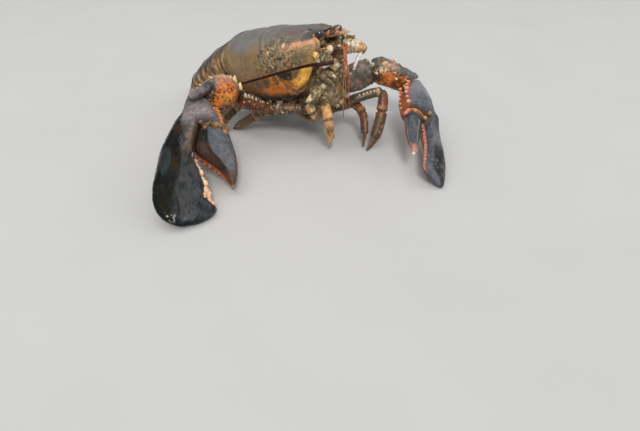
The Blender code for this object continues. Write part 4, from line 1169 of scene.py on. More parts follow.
    def blade(self, name: str, node: str, start: Array, heading: float, length: float, halves: tuple,
              thickness: float, rises: tuple, lean: float, ridges: int) -> None:
        """One blade: a flat ribbed leaf with a rounded, bristled end.

        Args:
            name: piece name.
            node: solid it replaces.
            start: root on the floor.
            heading: direction it points in.
            length: root to tip.
            halves: half widths, evenly along.
            thickness: at the root; it thins by 42% to the tip.
            rises: height of the root end and the share over which it comes down.
            lean: how far one edge is raised, the sign telling which.
            ridges: raised ribs along it; with three, a toothed seam crosses it too.
        """
        columns = 132
        s, a = sheet(110, columns)
        along = np.array((math.sin(heading), -math.cos(heading), 0))
        across = np.array((along[1], -along[0], 0))
        tip = np.clip((s - 0.82) / 0.18, 0, 1)
        half = resample(halves, len(s)) * np.sqrt(1 - (0.93 * tip) ** 2)
        thick = thickness * (1 - 0.42 * s) * np.sqrt(1 - (0.8 * tip) ** 4)
        x, u = superellipse(a, 2.6)
        lift = rises[0] * np.maximum(0, 1 - s / rises[1]) ** 1.5
        tilt = abs(lean) * (1 - 0.25 * s)
        edge = tilt * 0.5 * (1 + x * math.copysign(1, lean)) * (abs(lean) > 0)
        z = lift + edge - 0.3 + (thick + 0.3) * 0.5 * (1 + u)
        top = ramp(u, 0, 0.6)
        middles = {1: (0,), 2: (-0.42, 0.42), 3: (-0.1, 0.3)}[ridges]
        spine = sum(0.42 * hump(x, middle, 0.09) for middle in middles)
        z = z + top * (spine * (1 - 0.6 * s) + 0.08 * np.cos(x * 60) * ramp(s, 0.55, 0.9) - 0.2)
        if ridges == 3:
            z = z - top * 0.5 * hump(s, 0.7 + 0.05 * x * math.copysign(1, lean), 0.012)
        grid = start * (1, 1, 0) + along * (length * s)[..., None] + across * (half * x)[..., None]
        grid[..., 2] = np.maximum(z, 0.03)
        fine, broad = noise(grid, 4, 3, 130), noise(grid, 11, 2, 131)
        tint = mix((0.075, 0.06, 0.033), (0.2, 0.105, 0.04), ramp(fine + broad, -0.25, 0.5))
        tint = layered(tint,
            ((0.37, 0.15, 0.045), 0.7 * ramp(np.abs(x), 0.7, 0.98)),
            ((0.165, 0.07, 0.035), ramp(s + 0.06 * fine, 0.78, 0.95)),
            ((0.45, 0.3, 0.14), 0.6 * spine * 2 * top * ramp(fine, -0.2, 0.4)),
            ((0.36, 0.24, 0.13), ramp(-u, 0.1, 0.5)))
        shape = Shape(name)
        shape.tube(grid, tint, 0.35)
        if ridges == 3:
            teeth = np.linspace(-0.85, 0.85, 17)
            at = (start * (1, 1, 0) + along * (length * (0.71 + 0.05 * teeth[:, None] * np.sign(lean)))
                  + across * (teeth[:, None] * 9.3))
            row = abs(lean) * (1 - 0.25 * 0.7) * 0.5 * (1 + teeth * np.sign(lean))
            at[:, 2] = row + thickness * 0.7 - 0.2
            shape.knobs(at, along + (0, 0, 0.12), 0.42, 1.7, (0.36, 0.17, 0.07), (0.1, 0.05, 0.02),
                        point=0.9, sides=8, rings=4)
        self.wardrobe.dress(shape, Finish.OLIVE, node)
        share = np.repeat(np.linspace(0.5, 1, 60), 2)
        pick = np.clip((share * (len(s) - 1)).astype(int), 0, len(s) - 1)
        flank = np.tile((0, columns // 2), 60)
        rim = np.concatenate((grid[pick, flank], grid[-1, np.arange(0, columns, 2)]))
        away = unit(np.concatenate((across * np.where(flank == 0, 1, -1)[:, None] + along * 1.5,
                                    along + across * x[0, ::2, None] * 0.25)))
        self.wardrobe.bristles.add((rim - away * 0.5, away), 0, 4.2, 0.19, (0.2, 0.115, 0.06))


class Bristles:
    """All the fine stiff hairs of the animal, kept as one piece with a map of its own."""

    def __init__(self) -> None:
        """Start with none."""
        self.shape = Shape("bristles")
        self.roots: list[Array] = []

    def add(self, spots: tuple[Array, Array], lean: Array | float, length: float, radius: float,
            tint: Colour) -> None:
        """Add hairs: thin spikes three-sided, each a little longer or shorter and tilted by chance.

        Args:
            spots: places and directions out of the skin.
            lean: added to the directions.
            length: middling length.
            radius: radius at the root.
            tint: colour.
        """
        at = np.atleast_2d(spots[0])
        chance = scramble(np.floor(at * 40), 77)
        out = unit(np.broadcast_to(spots[1] + lean, at.shape) + 0.3 * (chance - 0.5))
        long = length * (0.65 + 0.7 * chance[:, 0])
        droop = np.stack((0 * long, 0 * long, -0.12 * long), -1)
        before = self.shape.count
        self.shape.knobs(at, out, radius, long, tint, tuple(0.8 * c for c in tint), lean=droop,
                         point=0.9, sides=3, rings=3)
        each = (self.shape.count - before) // max(len(at), 1)
        self.roots.append(np.repeat(at, each, 0))

    def build(self, wardrobe: "Wardrobe") -> None:
        """Hang the hairs, each mapped to a small patch at its root's place on a rolled-out trunk.

        The unwrap runs round the long axis of the body in one direction and along it in the other.
        """
        piece = wardrobe.dress(self.shape, Finish.FEELER)
        roots, points = np.concatenate(self.roots), np.concatenate(self.shape.points)
        turn = np.arctan2(roots[:, 0], roots[:, 2] - 60) / (2 * math.pi) + 0.5
        run = (roots[:, 1] + 300) / 480
        away = points - roots
        uv = np.stack((turn + 0.00025 * away[:, 0], run + 0.00025 * away[:, 1]), -1)
        loops = np.empty(len(piece.data.loops), np.int32)
        piece.data.loops.foreach_get("vertex_index", loops)
        layer = piece.data.uv_layers.new(name="OFBake")
        layer.data.foreach_set("uv", np.clip(uv, 0, 1)[loops].astype(np.float32).ravel())


# ---- claws ----
def soften(stations: Sequence, at: Array, sigma: float) -> Array:
    """Columns of a station table joined by straight lines and smoothed by a Gaussian."""
    table = np.asarray(stations, float)
    x = np.linspace(table[0, 0], table[-1, 0], 900)
    step = x[1] - x[0]
    reach = int(4 * sigma / step)
    kernel = np.exp(-0.5 * (np.arange(-reach, reach + 1) * step / sigma) ** 2)
    kernel /= kernel.sum()
    columns = []
    for column in table[:, 1:].T:
        line = np.interp(x, table[:, 0], column)
        wide = np.concatenate((2 * line[0] - line[reach:0:-1], line,
                               2 * line[-1] - line[-2:-reach - 2:-1]))
        columns.append(np.interp(at, x, np.convolve(wide, kernel, "valid")))
    return np.stack(columns, -1)


@dataclass
class ClawPart:
    """One shell of a claw as a lofted plate in the claw's own axes: along, across and face."""

    origin: Array
    along: Array
    across: Array
    stations: tuple
    rows: int
    sides: int
    power: float = 2.3
    sigma: float = 2.4
    tip: float = 5

    def __post_init__(self) -> None:
        """Work out the axes and the plain surface.

        At each station the edge-to-edge place is middle + reach x and the face height is
        half u of a superellipse; both close over a quarter round at the two ends.
        """
        self.along = unit(self.along)
        self.across = unit(self.across - self.along * (self.across @ self.along))
        self.face = unit(np.cross(self.along, self.across))
        low, high = self.stations[0][0], self.stations[-1][0]
        s = np.linspace(0, 1, self.rows)
        s = (low + (high - low) * s)[:, None]
        columns = soften(self.stations, s[:, 0], self.sigma)
        edge_a, edge_b, half, slant = (columns[:, k : k + 1] for k in range(4))
        root = np.sqrt(np.clip(1 - (1 - (s - low) / 2.4).clip(0) ** 2, 0, 1))
        tail = np.sqrt(np.clip(1 - (1 - (high - s) / self.tip).clip(0) ** 2, 0, 1))
        close = (0.72 + 0.28 * root) * (0.12 + 0.88 * tail)
        a = np.linspace(0, 2 * math.pi, self.sides, endpoint=False)[None]
        x, u = superellipse(a, self.power)
        t = (edge_a + edge_b) * 0.5 + (edge_b - edge_a) * 0.5 * x * close
        n = half * u * close
        self.s, self.t, self.n = s + slant * t, t, n
        self.x = x
        self.edges = (edge_a, edge_b, half)
        self.base = self.point(self.s, self.t, self.n)
        self.out = outward(self.base, self.base.mean(1, keepdims=True))

    def point(self, s: Array, t: Array, n: Array) -> Array:
        """Point at a place along, across and off the face."""
        s, t, n = np.broadcast_arrays(np.asarray(s, float), np.asarray(t, float), np.asarray(n, float))
        return (self.origin + self.along * s[..., None] + self.across * t[..., None]
                + self.face * n[..., None])

    def raised(self, height: Array) -> Array:
        """The surface pushed out by a height, kept on the floor."""
        return above_floor(self.base + self.out * height[..., None])

    def edge(self, s: Array, high: bool, n: Array) -> tuple[Array, Array]:
        """Places on one edge of the plate and the directions out of it.

        Args:
            s: places along.
            high: the high edge, otherwise the low one.
            n: heights off the middle plane.
        """
        at = soften(self.stations, np.asarray(s, float), self.sigma)
        side = at[:, 1] if high else at[:, 0]
        half, reach = at[:, 2], 0.5 * (at[:, 1] - at[:, 0])
        sign = 1 if high else -1
        inset = reach * (1 - np.clip(1 - np.abs(n / half) ** self.power, 0.02, 1) ** (1 / self.power))
        out = self.across * sign + self.face * (0.8 * n / half)[:, None]
        return self.point(s, side - sign * inset, n), unit(out)


@dataclass
class Crusher:
    """The heavy right claw: palm with the fixed finger, the movable finger and their molar teeth."""

    wardrobe: Wardrobe
    origin: tuple = (-110.9, -44.8, 61.5)
    along: tuple = (-0.642, -0.684, -0.348)
    across: tuple = (0.767, -0.585, -0.265)
    palm: tuple = ((6, -14, 11.5, 11.5, 0.9), (24, -20, 17, 17.5, 0.45),
                   (38, -24, 19.5, 24, 0.15), (48, -30.5, 20, 27, 0),
                   (50.5, -31.5, -4.5, 26.5, 0), (72, -39, -10.5, 26, 0),
                   (90, -44.5, -12.5, 23, 0), (108, -46.5, -4.5, 20.5, 0),
                   (132, -49.5, 5, 15.5, 0), (146, -48.5, 8, 12, 0),
                   (151, -47.8, 17, 10.5, 0), (162, -44, 10, 8, 0),
                   (170, -37, -1, 5.5, 0), (175.5, -27, -15, 2.5, 0))
    finger: tuple = ((51, -5, 24, 14, 0), (62, -8, 31.5, 17.5, 0),
                     (80, -8, 36.5, 16, 0), (88, -2.5, 37.8, 13.5, 0), (94, 8, 38.2, 12, 0),
                     (104, 20.5, 38.3, 9.5, 0), (114, 27.5, 36.5, 6, 0),
                     (122.5, 32, 34, 2, 0))

    def part(self, stations: tuple, rows: int, sides: int, tip: float, sigma: float) -> ClawPart:
        """A plate in this claw's axes."""
        return ClawPart(np.array(self.origin), np.array(self.along), np.array(self.across), stations,
                        rows, sides, tip=tip, sigma=sigma)

    def build(self) -> None:
        """Make the palm and the movable finger."""
        self.build_palm()
        self.build_finger()

    def crest(self, s: Array) -> Array:
        """Place of the long ridge that parts the dark outer side from the face."""
        return np.interp(s, (20, 61, 98, 116, 137, 157, 172),
                         (-17, -26.5, -24, -24.5, -27.5, -30, -31))

    def build_palm(self) -> None:
        """Palm: gently faceted along a crest, swollen at the wrist, with a toothed inner edge."""
        p = self.part(self.palm, 210, 330, 7, 2)
        crest = self.crest(p.s)
        front = ramp(p.n, 0, 5)
        rear = ramp(-p.n, 0, 5)
        broad, fine = noise(p.base, 20, 3, 140), noise(p.base, 5, 3, 141)
        height = 0.45 * broad + 0.12 * fine
        height += front * (0.9 * hump(p.t - crest, 0, 2.6) - 1.3 * hump(p.t - crest, 9, 6.5)
                           * ramp(p.s, 72, 96))
        height += -0.8 * rear * hump(p.t, -22, 9) * ramp(p.s, 70, 110)
        height += -0.5 * hump(p.s, 20, 9) * front * ramp(p.t, -18, 0)
        height += 2.2 * front * streak(p.s, p.t, ((64, -11), (82, -15), (96, -19), (110, -22)), 4.5)
        edge_low, edge_high, _ = p.edges
        near_low = hump(p.t - edge_low, 0, 4)
        height += near_low * (0.35 * beads(p.base, 3.4, 142, 0.5) + 0.15 * fine)
        bite = ramp(p.s, 86, 96) * (1 - ramp(p.s, 146, 151))
        near_high = hump(p.t - edge_high, 0, 3.6)
        height += bite * near_high * (0.9 * hump(np.sin(p.s * 0.46), 1, 0.8) - 0.1)
        height += 0.25 * beads(p.base, 2.6, 143, 0.25) * ramp(-p.s, -60, -20)
        grid = p.raised(height)
        shape = Shape("crusher_palm")
        shape.tube(grid, *self.paint_palm(p, grid, crest, front))
        self.add_molars(shape, p)
        self.add_rim_spines(shape, p)
        self.wardrobe.dress(shape, Finish.CLAW, "claw_palm_r")

    def paint_palm(self, p: ClawPart, grid: Array, crest: Array, front: Array) -> tuple:
        """Lilac grey at the wrist, blue-grey face, olive-black outer side deepened by painted shade,
        with brown streaks.
        """
        broad, fine = noise(grid, 16, 3, 150), noise(grid, 4, 3, 151)
        wob = 2.2 * fine + 3 * broad
        tint = mix((0.026, 0.03, 0.034), (0.056, 0.056, 0.058), ramp(fine + broad, -0.5, 0.5))
        tint = mix(tint, (0.085, 0.076, 0.068), 0.6 * (1 - ramp(p.s + wob, 84, 120)))
        lilac = mix((0.17, 0.154, 0.162), (0.27, 0.222, 0.218),
                    ramp(noise(grid, 3, 3, 152), -0.2, 0.4))
        tint = mix(tint, lilac, (1 - ramp(p.s + wob, 54, 74)) * ramp(p.t - crest + wob, -4, 3))
        # The outer side is dark olive of its own, deepened almost to black as painted shade on the side
        # turned away from the light.
        outer = ramp(crest - p.t + 0.9 * wob + 1.2 * noise(grid, 2.6, 2, 157), -1.5, 3.5)
        dark = mix((0.002, 0.0026, 0.002), (0.008, 0.006, 0.002), ramp(broad, -0.2, 0.4))
        tint = mix(tint, dark, outer)
        streaks = streak(p.s, p.t + 0.5 * wob, ((70, -30), (104, -29), (122, -30)), 3.4)
        tint = mix(tint, (0.03, 0.014, 0.004), 0.7 * streaks * front * ramp(fine + broad, -0.3, 0.3))
        ridge = streak(p.s + wob, p.t + 0.6 * wob, ((66, -12), (82, -16), (92, -19), (106, -22)), 4.2)
        tint = layered(tint,
            ((0.235, 0.165, 0.12), 0.8 * ridge * front * ramp(fine + 0.8 * noise(grid, 2.6, 2, 155),
             -0.6, 0.2) * (1 - ramp(p.s + 5 * fine, 88, 106))),
            ((0.105, 0.078, 0.048), 0.6 * front * spot(p.s + wob, p.t + wob, 72, -12, 14, 7)
             * ramp(noise(grid, 3.4, 3, 156), -0.2, 0.2)),
            # Painted sheen: a faint bluish-grey patch on the dark outer side, where the wet shell
            # catches light.
            ((0.04, 0.048, 0.05), 0.5 * outer * spot(p.s + wob, p.t, 110, -40, 15, 6)))
        grain = noise(np.stack((0.42 * p.s, p.t, p.n), -1), 3.4, 4, 153)
        tint = mix(tint, (0.01, 0.014, 0.014), 0.65 * ramp(grain, 0, 0.3) * ramp(p.s + wob, 104, 136))
        edge_low, edge_high, _ = p.edges
        rim = np.maximum(hump(p.t - edge_low, 0, 3.2) * ramp(p.s, 120, 150), ramp(p.s, 168, 174))
        tint = mix(tint, (0.006, 0.008, 0.009), 0.9 * rim)
        crumbs = spot(p.s, p.t, 170, -30.5, 6, 4.5) * front
        crumbs = crumbs * ramp(noise(grid, 1.8, 2, 154), 0.18, 0.3)
        tint = mix(tint, (0.72, 0.7, 0.6), 0.9 * crumbs)
        inner = ramp(p.t - edge_high + 5 + 1.2 * fine, 0, 3) * ramp(p.s, 84, 92)
        inner = inner * (1 - ramp(p.s, 148, 153))
        tint = mix(tint, (0.4, 0.185, 0.12), 0.85 * inner)
        hinge = ramp(p.s, 46.5, 49.5) * ramp(p.t - edge_high, -7, -1) * (1 - ramp(p.s, 84, 94))
        tint = mix(tint, (0.06, 0.036, 0.018), 0.9 * hinge)
        margin = (1 - ramp(p.s, 44, 52)) * ramp(p.t - edge_high, -6, -1)
        tint = mix(tint, (0.42, 0.2, 0.11), 0.7 * margin * ramp(fine, -0.3, 0.3))
        back = ramp(-p.n, 2, 8)
        pale = mix((0.36, 0.145, 0.07), (0.47, 0.25, 0.14), ramp(broad, -0.3, 0.3))
        tint = mix(tint, pale, 0.62 * back * (1 - 0.6 * outer))
        mask = np.clip((1 - ramp(p.s, 40, 80)) * 0.55 + 0.3 * back, 0, 1)
        return tint, mask

    def add_molars(self, shape: Shape, p: ClawPart) -> None:
        """Blunt grinding teeth in a row along the biting edge, with small ones between and beside."""
        s = np.array((101, 107, 113, 119.5, 125, 131, 136.5, 141.5, 146))
        r = np.array((2.8, 3.8, 4.6, 3.8, 4.8, 3.6, 4.2, 3, 2.6))
        n = np.array((3, 4.5, 5.5, 2, 5, 1.6, 4, 1.2, 1.6))
        at, out = p.edge(s, True, n)
        tint = mix((0.62, 0.24, 0.14), (0.74, 0.5, 0.3), scramble(np.floor(at), 3)[:, 0])
        shape.studs((at, out), 0.8, r, 0.85 * r + 1, tint, (0.84, 0.62, 0.42), lean=0.35 * p.face,
                    point=0.12, sides=20, rings=9)
        rng = np.random.default_rng(11)
        more = rng.uniform(99, 148, 90)
        n = rng.uniform(-6.4, 9, 90)
        small = rng.uniform(0.9, 3.2, 90)
        tint = mix((0.6, 0.17, 0.09), (0.7, 0.54, 0.34), rng.uniform(0, 1, 90))
        shape.studs(p.edge(more, True, n), 0.4, small, 0.9 * small + 0.4, tint, (0.8, 0.52, 0.34),
                    lean=0.3 * p.face, point=0.1, sides=12, rings=6)

    def add_rim_spines(self, shape: Shape, p: ClawPart) -> None:
        """Tubercles up the inner margin from wrist to hinge, and a knob each side of the hinge."""
        s = np.linspace(9, 41, 7)
        for n, size in ((3.5, 3.2), (-7, 2.2)):
            shape.studs(p.edge(s, True, n), 1, size, size * 1.5 + 0.8, ORANGE, (0.7, 0.42, 0.24),
                        lean=p.along * 0.35, point=0.55, sides=14, rings=7)
        step = np.linspace(0, 1, 6)
        at = p.point(-3 + 18 * step, 5 + 10 * step, 12.5 - 4 * step)
        shape.knobs(at, unit(p.face + 0.5 * p.across), 2.5, 3.6, (0.6, 0.2, 0.075), (0.8, 0.48, 0.32),
                    point=0.3, sides=14, rings=7)
        at = p.point(np.array((51.5, 52.5)), np.array((-5.5, -5.5)), np.array((15.5, -15.5)))
        shape.knobs(at, p.face * np.array((1, -1))[:, None] + p.across * 0.5, 3.6, 3.4,
                    (0.1, 0.07, 0.036), (0.22, 0.15, 0.08), point=0.1, sides=20, rings=8)

    def build_finger(self) -> None:
        """Movable finger: a curved horn with a red outer edge, hung in a wrinkled hinge collar."""
        p = self.part(self.finger, 130, 220, 3.5, 2.2)
        broad, fine = noise(p.base, 14, 3, 160), noise(p.base, 4, 3, 161)
        edge_low, edge_high, _ = p.edges
        front = ramp(p.n, 0, 4)
        line = edge_low + (edge_high - edge_low) * 0.3
        height = 0.35 * broad + 0.12 * fine + 0.8 * front * hump(p.t - line, 0, 2.2)
        height += -0.9 * front * hump(p.t - line, -5.5, 4)
        height += -1.5 * (1 - ramp(p.s, 51, 57)) + 0.9 * hump(p.s, 59.5, 2.5)
        height += 0.5 * hump(p.t - edge_high, 0, 3) * beads(p.base, 3.2, 162, 0.5)
        grid = p.raised(height)
        tint = mix((0.08, 0.088, 0.104), (0.13, 0.136, 0.148), ramp(fine, -0.4, 0.4))
        tint = mix(tint, (0.012, 0.014, 0.01), 0.94 * ramp(line - p.t + 1.6 * fine, -1, 2.5))
        rim = ramp(p.t - edge_high + 1.6 * fine, -5.5, -2)
        tint = layered(tint,
            ((0.165, 0.07, 0.04), 0.85 * rim),
            ((0.11, 0.056, 0.043), ramp(p.s + 2.4 * fine, 103, 113)),
            ((0.42, 0.25, 0.12), ramp(p.s, 119.5, 121.5)))
        bite = ramp(edge_low - p.t + 2.2, -3.5, 1) * ramp(p.s, 66, 74) * ramp(-p.n, -1.5, 1.5)
        tint = mix(tint, (0.46, 0.13, 0.05), 0.85 * bite)
        brown = ramp(p.s - 1.2 * p.t + 5 * fine + 6 * broad, 66, 92) * front
        tint = layered(tint,
            ((0.1, 0.05, 0.033), 0.6 * brown),
            ((0.115, 0.068, 0.032), 1 - ramp(p.s + 1.5 * fine, 56, 62)))
        back = ramp(-p.n, 1, 6)
        tint = mix(tint, (0.36, 0.15, 0.08), 0.6 * back)
        shape = Shape("crusher_finger")
        shape.tube(grid, tint, 0.25)
        s = np.linspace(68, 114, 13)
        size = 1.3 + 1.5 * np.sin(np.linspace(0.3, math.pi - 0.2, 13))
        at, out = p.edge(s, False, np.where(np.arange(13) % 2, -4, -5.6))
        shape.knobs(at - out * 1.4, out - 0.5 * p.face, size, size + 0.6, (0.3, 0.095, 0.05),
                    (0.58, 0.34, 0.22), point=0.15, sides=16, rings=7)
        self.add_collar(shape, p)
        self.wardrobe.dress(shape, Finish.CLAW, "claw_dactyl_r")

    def add_collar(self, shape: Shape, p: ClawPart) -> None:
        """Wrinkled soft collar and the two shiny knobs that the finger turns on."""
        s, a = sheet(22, 96)
        x, u = superellipse(a, 2.3)
        fold = 1 + 0.035 * np.sin(s * 21 + 2 * x) - 0.22 * hump(s, 0, 0.12) - 0.22 * hump(s, 1, 0.1)
        t = 10 + 12.6 * x * fold
        grid = p.point(48.6 + 6.4 * s, t, 12.9 * u * fold)
        grid = grid + 0.25 * noise(grid, 3, 2, 165)[..., None]
        folds = ramp(np.sin(s * 21 + 2 * x), -1, 1)
        shape.tube(grid, mix((0.12, 0.07, 0.03), (0.3, 0.15, 0.07), folds))
        rng = np.random.default_rng(17)
        t = np.concatenate((np.linspace(-8, 26, 17), rng.uniform(-9, 27, 26)))
        round_off = np.sqrt(np.clip(1 - ((t - 9) / 19.5) ** 2, 0, 1))
        at = p.point(48.5 + 5 * rng.uniform(0, 1, 43) - 2 * round_off, t, 12 * round_off + 1.5)
        size = rng.uniform(1.8, 3.8, 43)
        tone = mix((0.06, 0.042, 0.02), (0.42, 0.2, 0.095), rng.uniform(0, 1, 43) ** 1.4)
        out = unit(p.face + 0.5 * p.along + rng.normal(0, 0.3, (43, 3)))
        shape.knobs(at, out, size, 0.9 * size, tone, 0.7 * tone + (0.05, 0.05, 0.04), point=0.1,
                    sides=14, rings=6)
        knob = p.point(np.array((56.5, 56.5, 60, 57)), np.array((1.5, 1.5, 22, 25.5)),
                       np.array((13, -13, 14.2, 9)))
        shape.knobs(knob - p.face * np.array((1, -1, 1, 1))[:, None] * 1.5,
                    p.face * np.array((1, -1, 1, 0.7))[:, None], np.array((3.6, 3.6, 4.4, 3.4)),
                    np.array((3.4, 3.4, 4.4, 3.6)), (0.17, 0.085, 0.04), (0.42, 0.2, 0.11), point=0.1,
                    sides=20, rings=8)


@dataclass
class Cutter:
    """The slimmer left claw: faceted palm with the fixed blade, movable finger, rows of teeth."""

    wardrobe: Wardrobe
    origin: tuple = (111.5, -189.4, 51.6)
    along: tuple = (-0.69, -0.669, -0.276)
    across: tuple = (-0.68, 0.47, 0.56)
    palm: tuple = ((5, -9, 12, 9, 0.9), (24, -14, 22, 13.5, 0.4),
                   (44, -17, 27.5, 17, 0.15), (68, -17.5, 28, 17, 0),
                   (70.5, -17.5, 0.5, 16.5, 0), (90, -17.5, 1.5, 12, 0),
                   (115, -20, 5.5, 9.5, 0), (138, -18.5, 13, 8, 0),
                   (155, -12.5, 19.5, 6.5, 0), (161.5, -10.5, 17, 5.2, 0),
                   (172.5, -5.5, -1.5, 2, 0))
    hinge: tuple = (74, 13.8)
    opening: float = math.radians(15.5)
    finger: tuple = ((0, -9.8, 12.5, 9.5, -0.21), (14, -7.8, 12, 8.4, 0),
                     (34, -6.4, 11, 7.2, 0), (50, -5.2, 7.5, 5.4, 0),
                     (62, -3.4, 3.4, 3.2, 0), (72, -0.8, 1, 1, 0))

    def build(self) -> None:
        """Make the palm and the movable finger."""
        origin, along, across = np.array(self.origin), unit(self.along), unit(self.across)
        p = ClawPart(origin, along, across, self.palm, 210, 260, tip=4, sigma=2)
        self.build_palm(p)
        start = origin + along * self.hinge[0] + across * self.hinge[1]
        c, s = math.cos(self.opening), math.sin(self.opening)
        f = ClawPart(start, along * c + across * s, across * c - along * s, self.finger, 120, 180,
                     tip=3, sigma=2)
        self.build_finger(f)

    def build_palm(self, p: ClawPart) -> None:
        """Palm: a long ridge parts the flat face from the lower facet, which is darkened with painted
        shade.
        """
        broad, fine = noise(p.base, 18, 3, 170), noise(p.base, 4.5, 3, 171)
        edge_low, edge_high, _ = p.edges
        crest = np.interp(p.s, (30, 70, 90, 115, 138, 155, 172),
                          (-7, -4, -2, 0.7, 7, 12.5, -1))
        seen = ramp(-p.n, 0, 3)
        height = 0.35 * broad + 0.1 * fine
        height += seen * (0.8 * hump(p.t - crest, 0, 2) - 0.9 * hump(p.t - crest, 6.5, 4.5)
                          * ramp(p.s, 64, 84))
        height += seen * 0.9 * hump(p.t - crest, 14, 8) * (1 - ramp(p.s, 60, 76))
        height += -0.7 * hump(p.s, 15, 3.6) * ramp(p.t, -6, 8)
        height += 0.4 * hump(p.t - edge_low, 0, 3) * beads(p.base, 3, 172, 0.5)
        grid = p.raised(height)
        wob = 1.8 * fine + 2 * broad
        tint = mix((0.068, 0.074, 0.09), (0.12, 0.124, 0.142), ramp(fine, -0.4, 0.4))
        tint = mix(tint, (0.215, 0.208, 0.228), 0.8 * (1 - ramp(p.s + wob, 26, 70)))
        facet = ramp(crest - p.t + 0.3 * wob, -0.8, 1.6)
        low = ramp(p.s + wob, 60, 100)
        grey = mix((0.026, 0.027, 0.026), (0.1, 0.094, 0.084),
                   ramp(noise(grid, 3.2, 3, 175), -0.1, 0.4))
        # The lower facet gets its own mottled grey-brown, darkened further as painted shade on the side
        # turned from the light.
        tint = layered(tint,
            (grey, 0.92 * facet * (0.25 + 0.75 * low) * (p.n < 1)),
            ((0.014, 0.018, 0.017), 0.85 * facet * spot(p.s + wob, p.t, 128, -8, 22, 12)
             * ramp(noise(grid, 5, 3, 174), -0.15, 0.2)),
            ((0.21, 0.202, 0.196), 0.75 * facet * hump(p.s + wob, 104, 13) * (p.n < 1)))
        inner = ramp(p.t - edge_high + 7 + 1.4 * fine, 0, 4) * (1 - ramp(p.s, 64, 72))
        inner = inner * ramp(p.n, -9, -5.5)
        tint = mix(tint, mix(RUST, ORANGE, ramp(broad, -0.3, 0.3)), 0.85 * inner * ramp(p.n, -10, -2))
        bite = ramp(p.t - edge_high + 1.3, 0, 1.2) * ramp(p.s, 72, 80) * ramp(p.n, -2.4, -1)
        bite = bite * (1 - ramp(p.s, 156, 163))
        tint = mix(tint, (0.36, 0.09, 0.05), 0.9 * bite)
        hinge = ramp(p.s, 63, 68) * ramp(p.t - edge_high, -6, -1) * (1 - ramp(p.s, 74, 82))
        tint = mix(tint, (0.13, 0.085, 0.04), 0.8 * hinge)
        back = ramp(p.n, 3, 9)
        pale = mix((0.37, 0.15, 0.075), (0.46, 0.24, 0.13), ramp(broad, -0.3, 0.3))
        tint = mix(tint, pale, 0.7 * back)
        mask = np.clip(0.35 * (1 - ramp(p.s, 30, 70)) + 0.4 * inner + 0.3 * back, 0, 1)
        shape = Shape("cutter_palm")
        shape.tube(grid, tint, mask)
        self.add_rows(shape, p)
        self.wardrobe.dress(shape, Finish.CLAW, "claw_palm_l")

    def add_rows(self, shape: Shape, p: ClawPart) -> None:
        """Two rows of tubercles beside the wrist, fine teeth along the blade and a knob each side of
        the hinge.
        """
        rng = np.random.default_rng(21)
        for n, shift, size in ((-6, 0, 3.2), (5.5, 4, 2)):
            s = np.linspace(19 + shift, 60 + shift * 0.3, 6)
            tint = mix((0.5, 0.07, 0.018), (0.62, 0.17, 0.05), rng.uniform(0, 1, 6))
            shape.studs(p.edge(s, True, n), 0.8, size * rng.uniform(0.8, 1.15, 6), size * 1.5, tint,
                        (0.72, 0.46, 0.34), lean=p.along * 0.3, point=0.65, sides=16, rings=8)
        s = np.linspace(78, 157, 50)
        big = (np.arange(50) % 4 == 2) * 1
        size = (1.15 + 0.75 * big) * (1 - 0.3 * ramp(s, 135, 159))
        n = np.where(np.arange(50) % 2, 0.9, -0.9) * (1 - big) * (1 - ramp(s, 140, 160))
        shape.studs(p.edge(s, True, n), 0.5, size, size * 1.2 + 0.6, (0.42, 0.115, 0.08),
                    (0.64, 0.35, 0.27), point=0.3, sides=12, rings=6)
        more = rng.uniform(80, 150, 60)
        n = rng.uniform(0.5, 5.5, 60)
        shape.studs(p.edge(more, True, n), 0.4, rng.uniform(0.5, 1.1, 60), 1.2, (0.38, 0.12, 0.075),
                    (0.54, 0.29, 0.21), point=0.3, sides=8, rings=4)
        knob = p.point(np.array((71, 71)), np.array((1, 1)), np.array((12.5, -12.5)))
        shape.knobs(knob, p.face * np.array((1, -1))[:, None] + p.across * 0.4, 3.4, 3.4,
                    (0.18, 0.105, 0.05), (0.4, 0.25, 0.13), point=0.1, sides=18, rings=8)

    def build_finger(self, p: ClawPart) -> None:
        """Movable finger: blue-grey plate edged with red, pink at the tip, in an orange collar."""
        broad, fine = noise(p.base, 12, 3, 180), noise(p.base, 4, 3, 181)
        edge_low, edge_high, half = p.edges
        height = 0.25 * broad + 0.1 * fine
        height += 0.6 * hump(p.t - edge_high, -3.2, 1.3) * (p.n < 0) - 0.5 * hump(p.t, 1, 5) * (p.n < 0)
        height += -1.3 * (1 - ramp(p.s, 1, 6)) + 0.7 * hump(p.s, 8.5, 2.2)
        grid = p.raised(height)
        tint = mix((0.06, 0.068, 0.08), (0.098, 0.104, 0.114), ramp(fine, -0.4, 0.4))
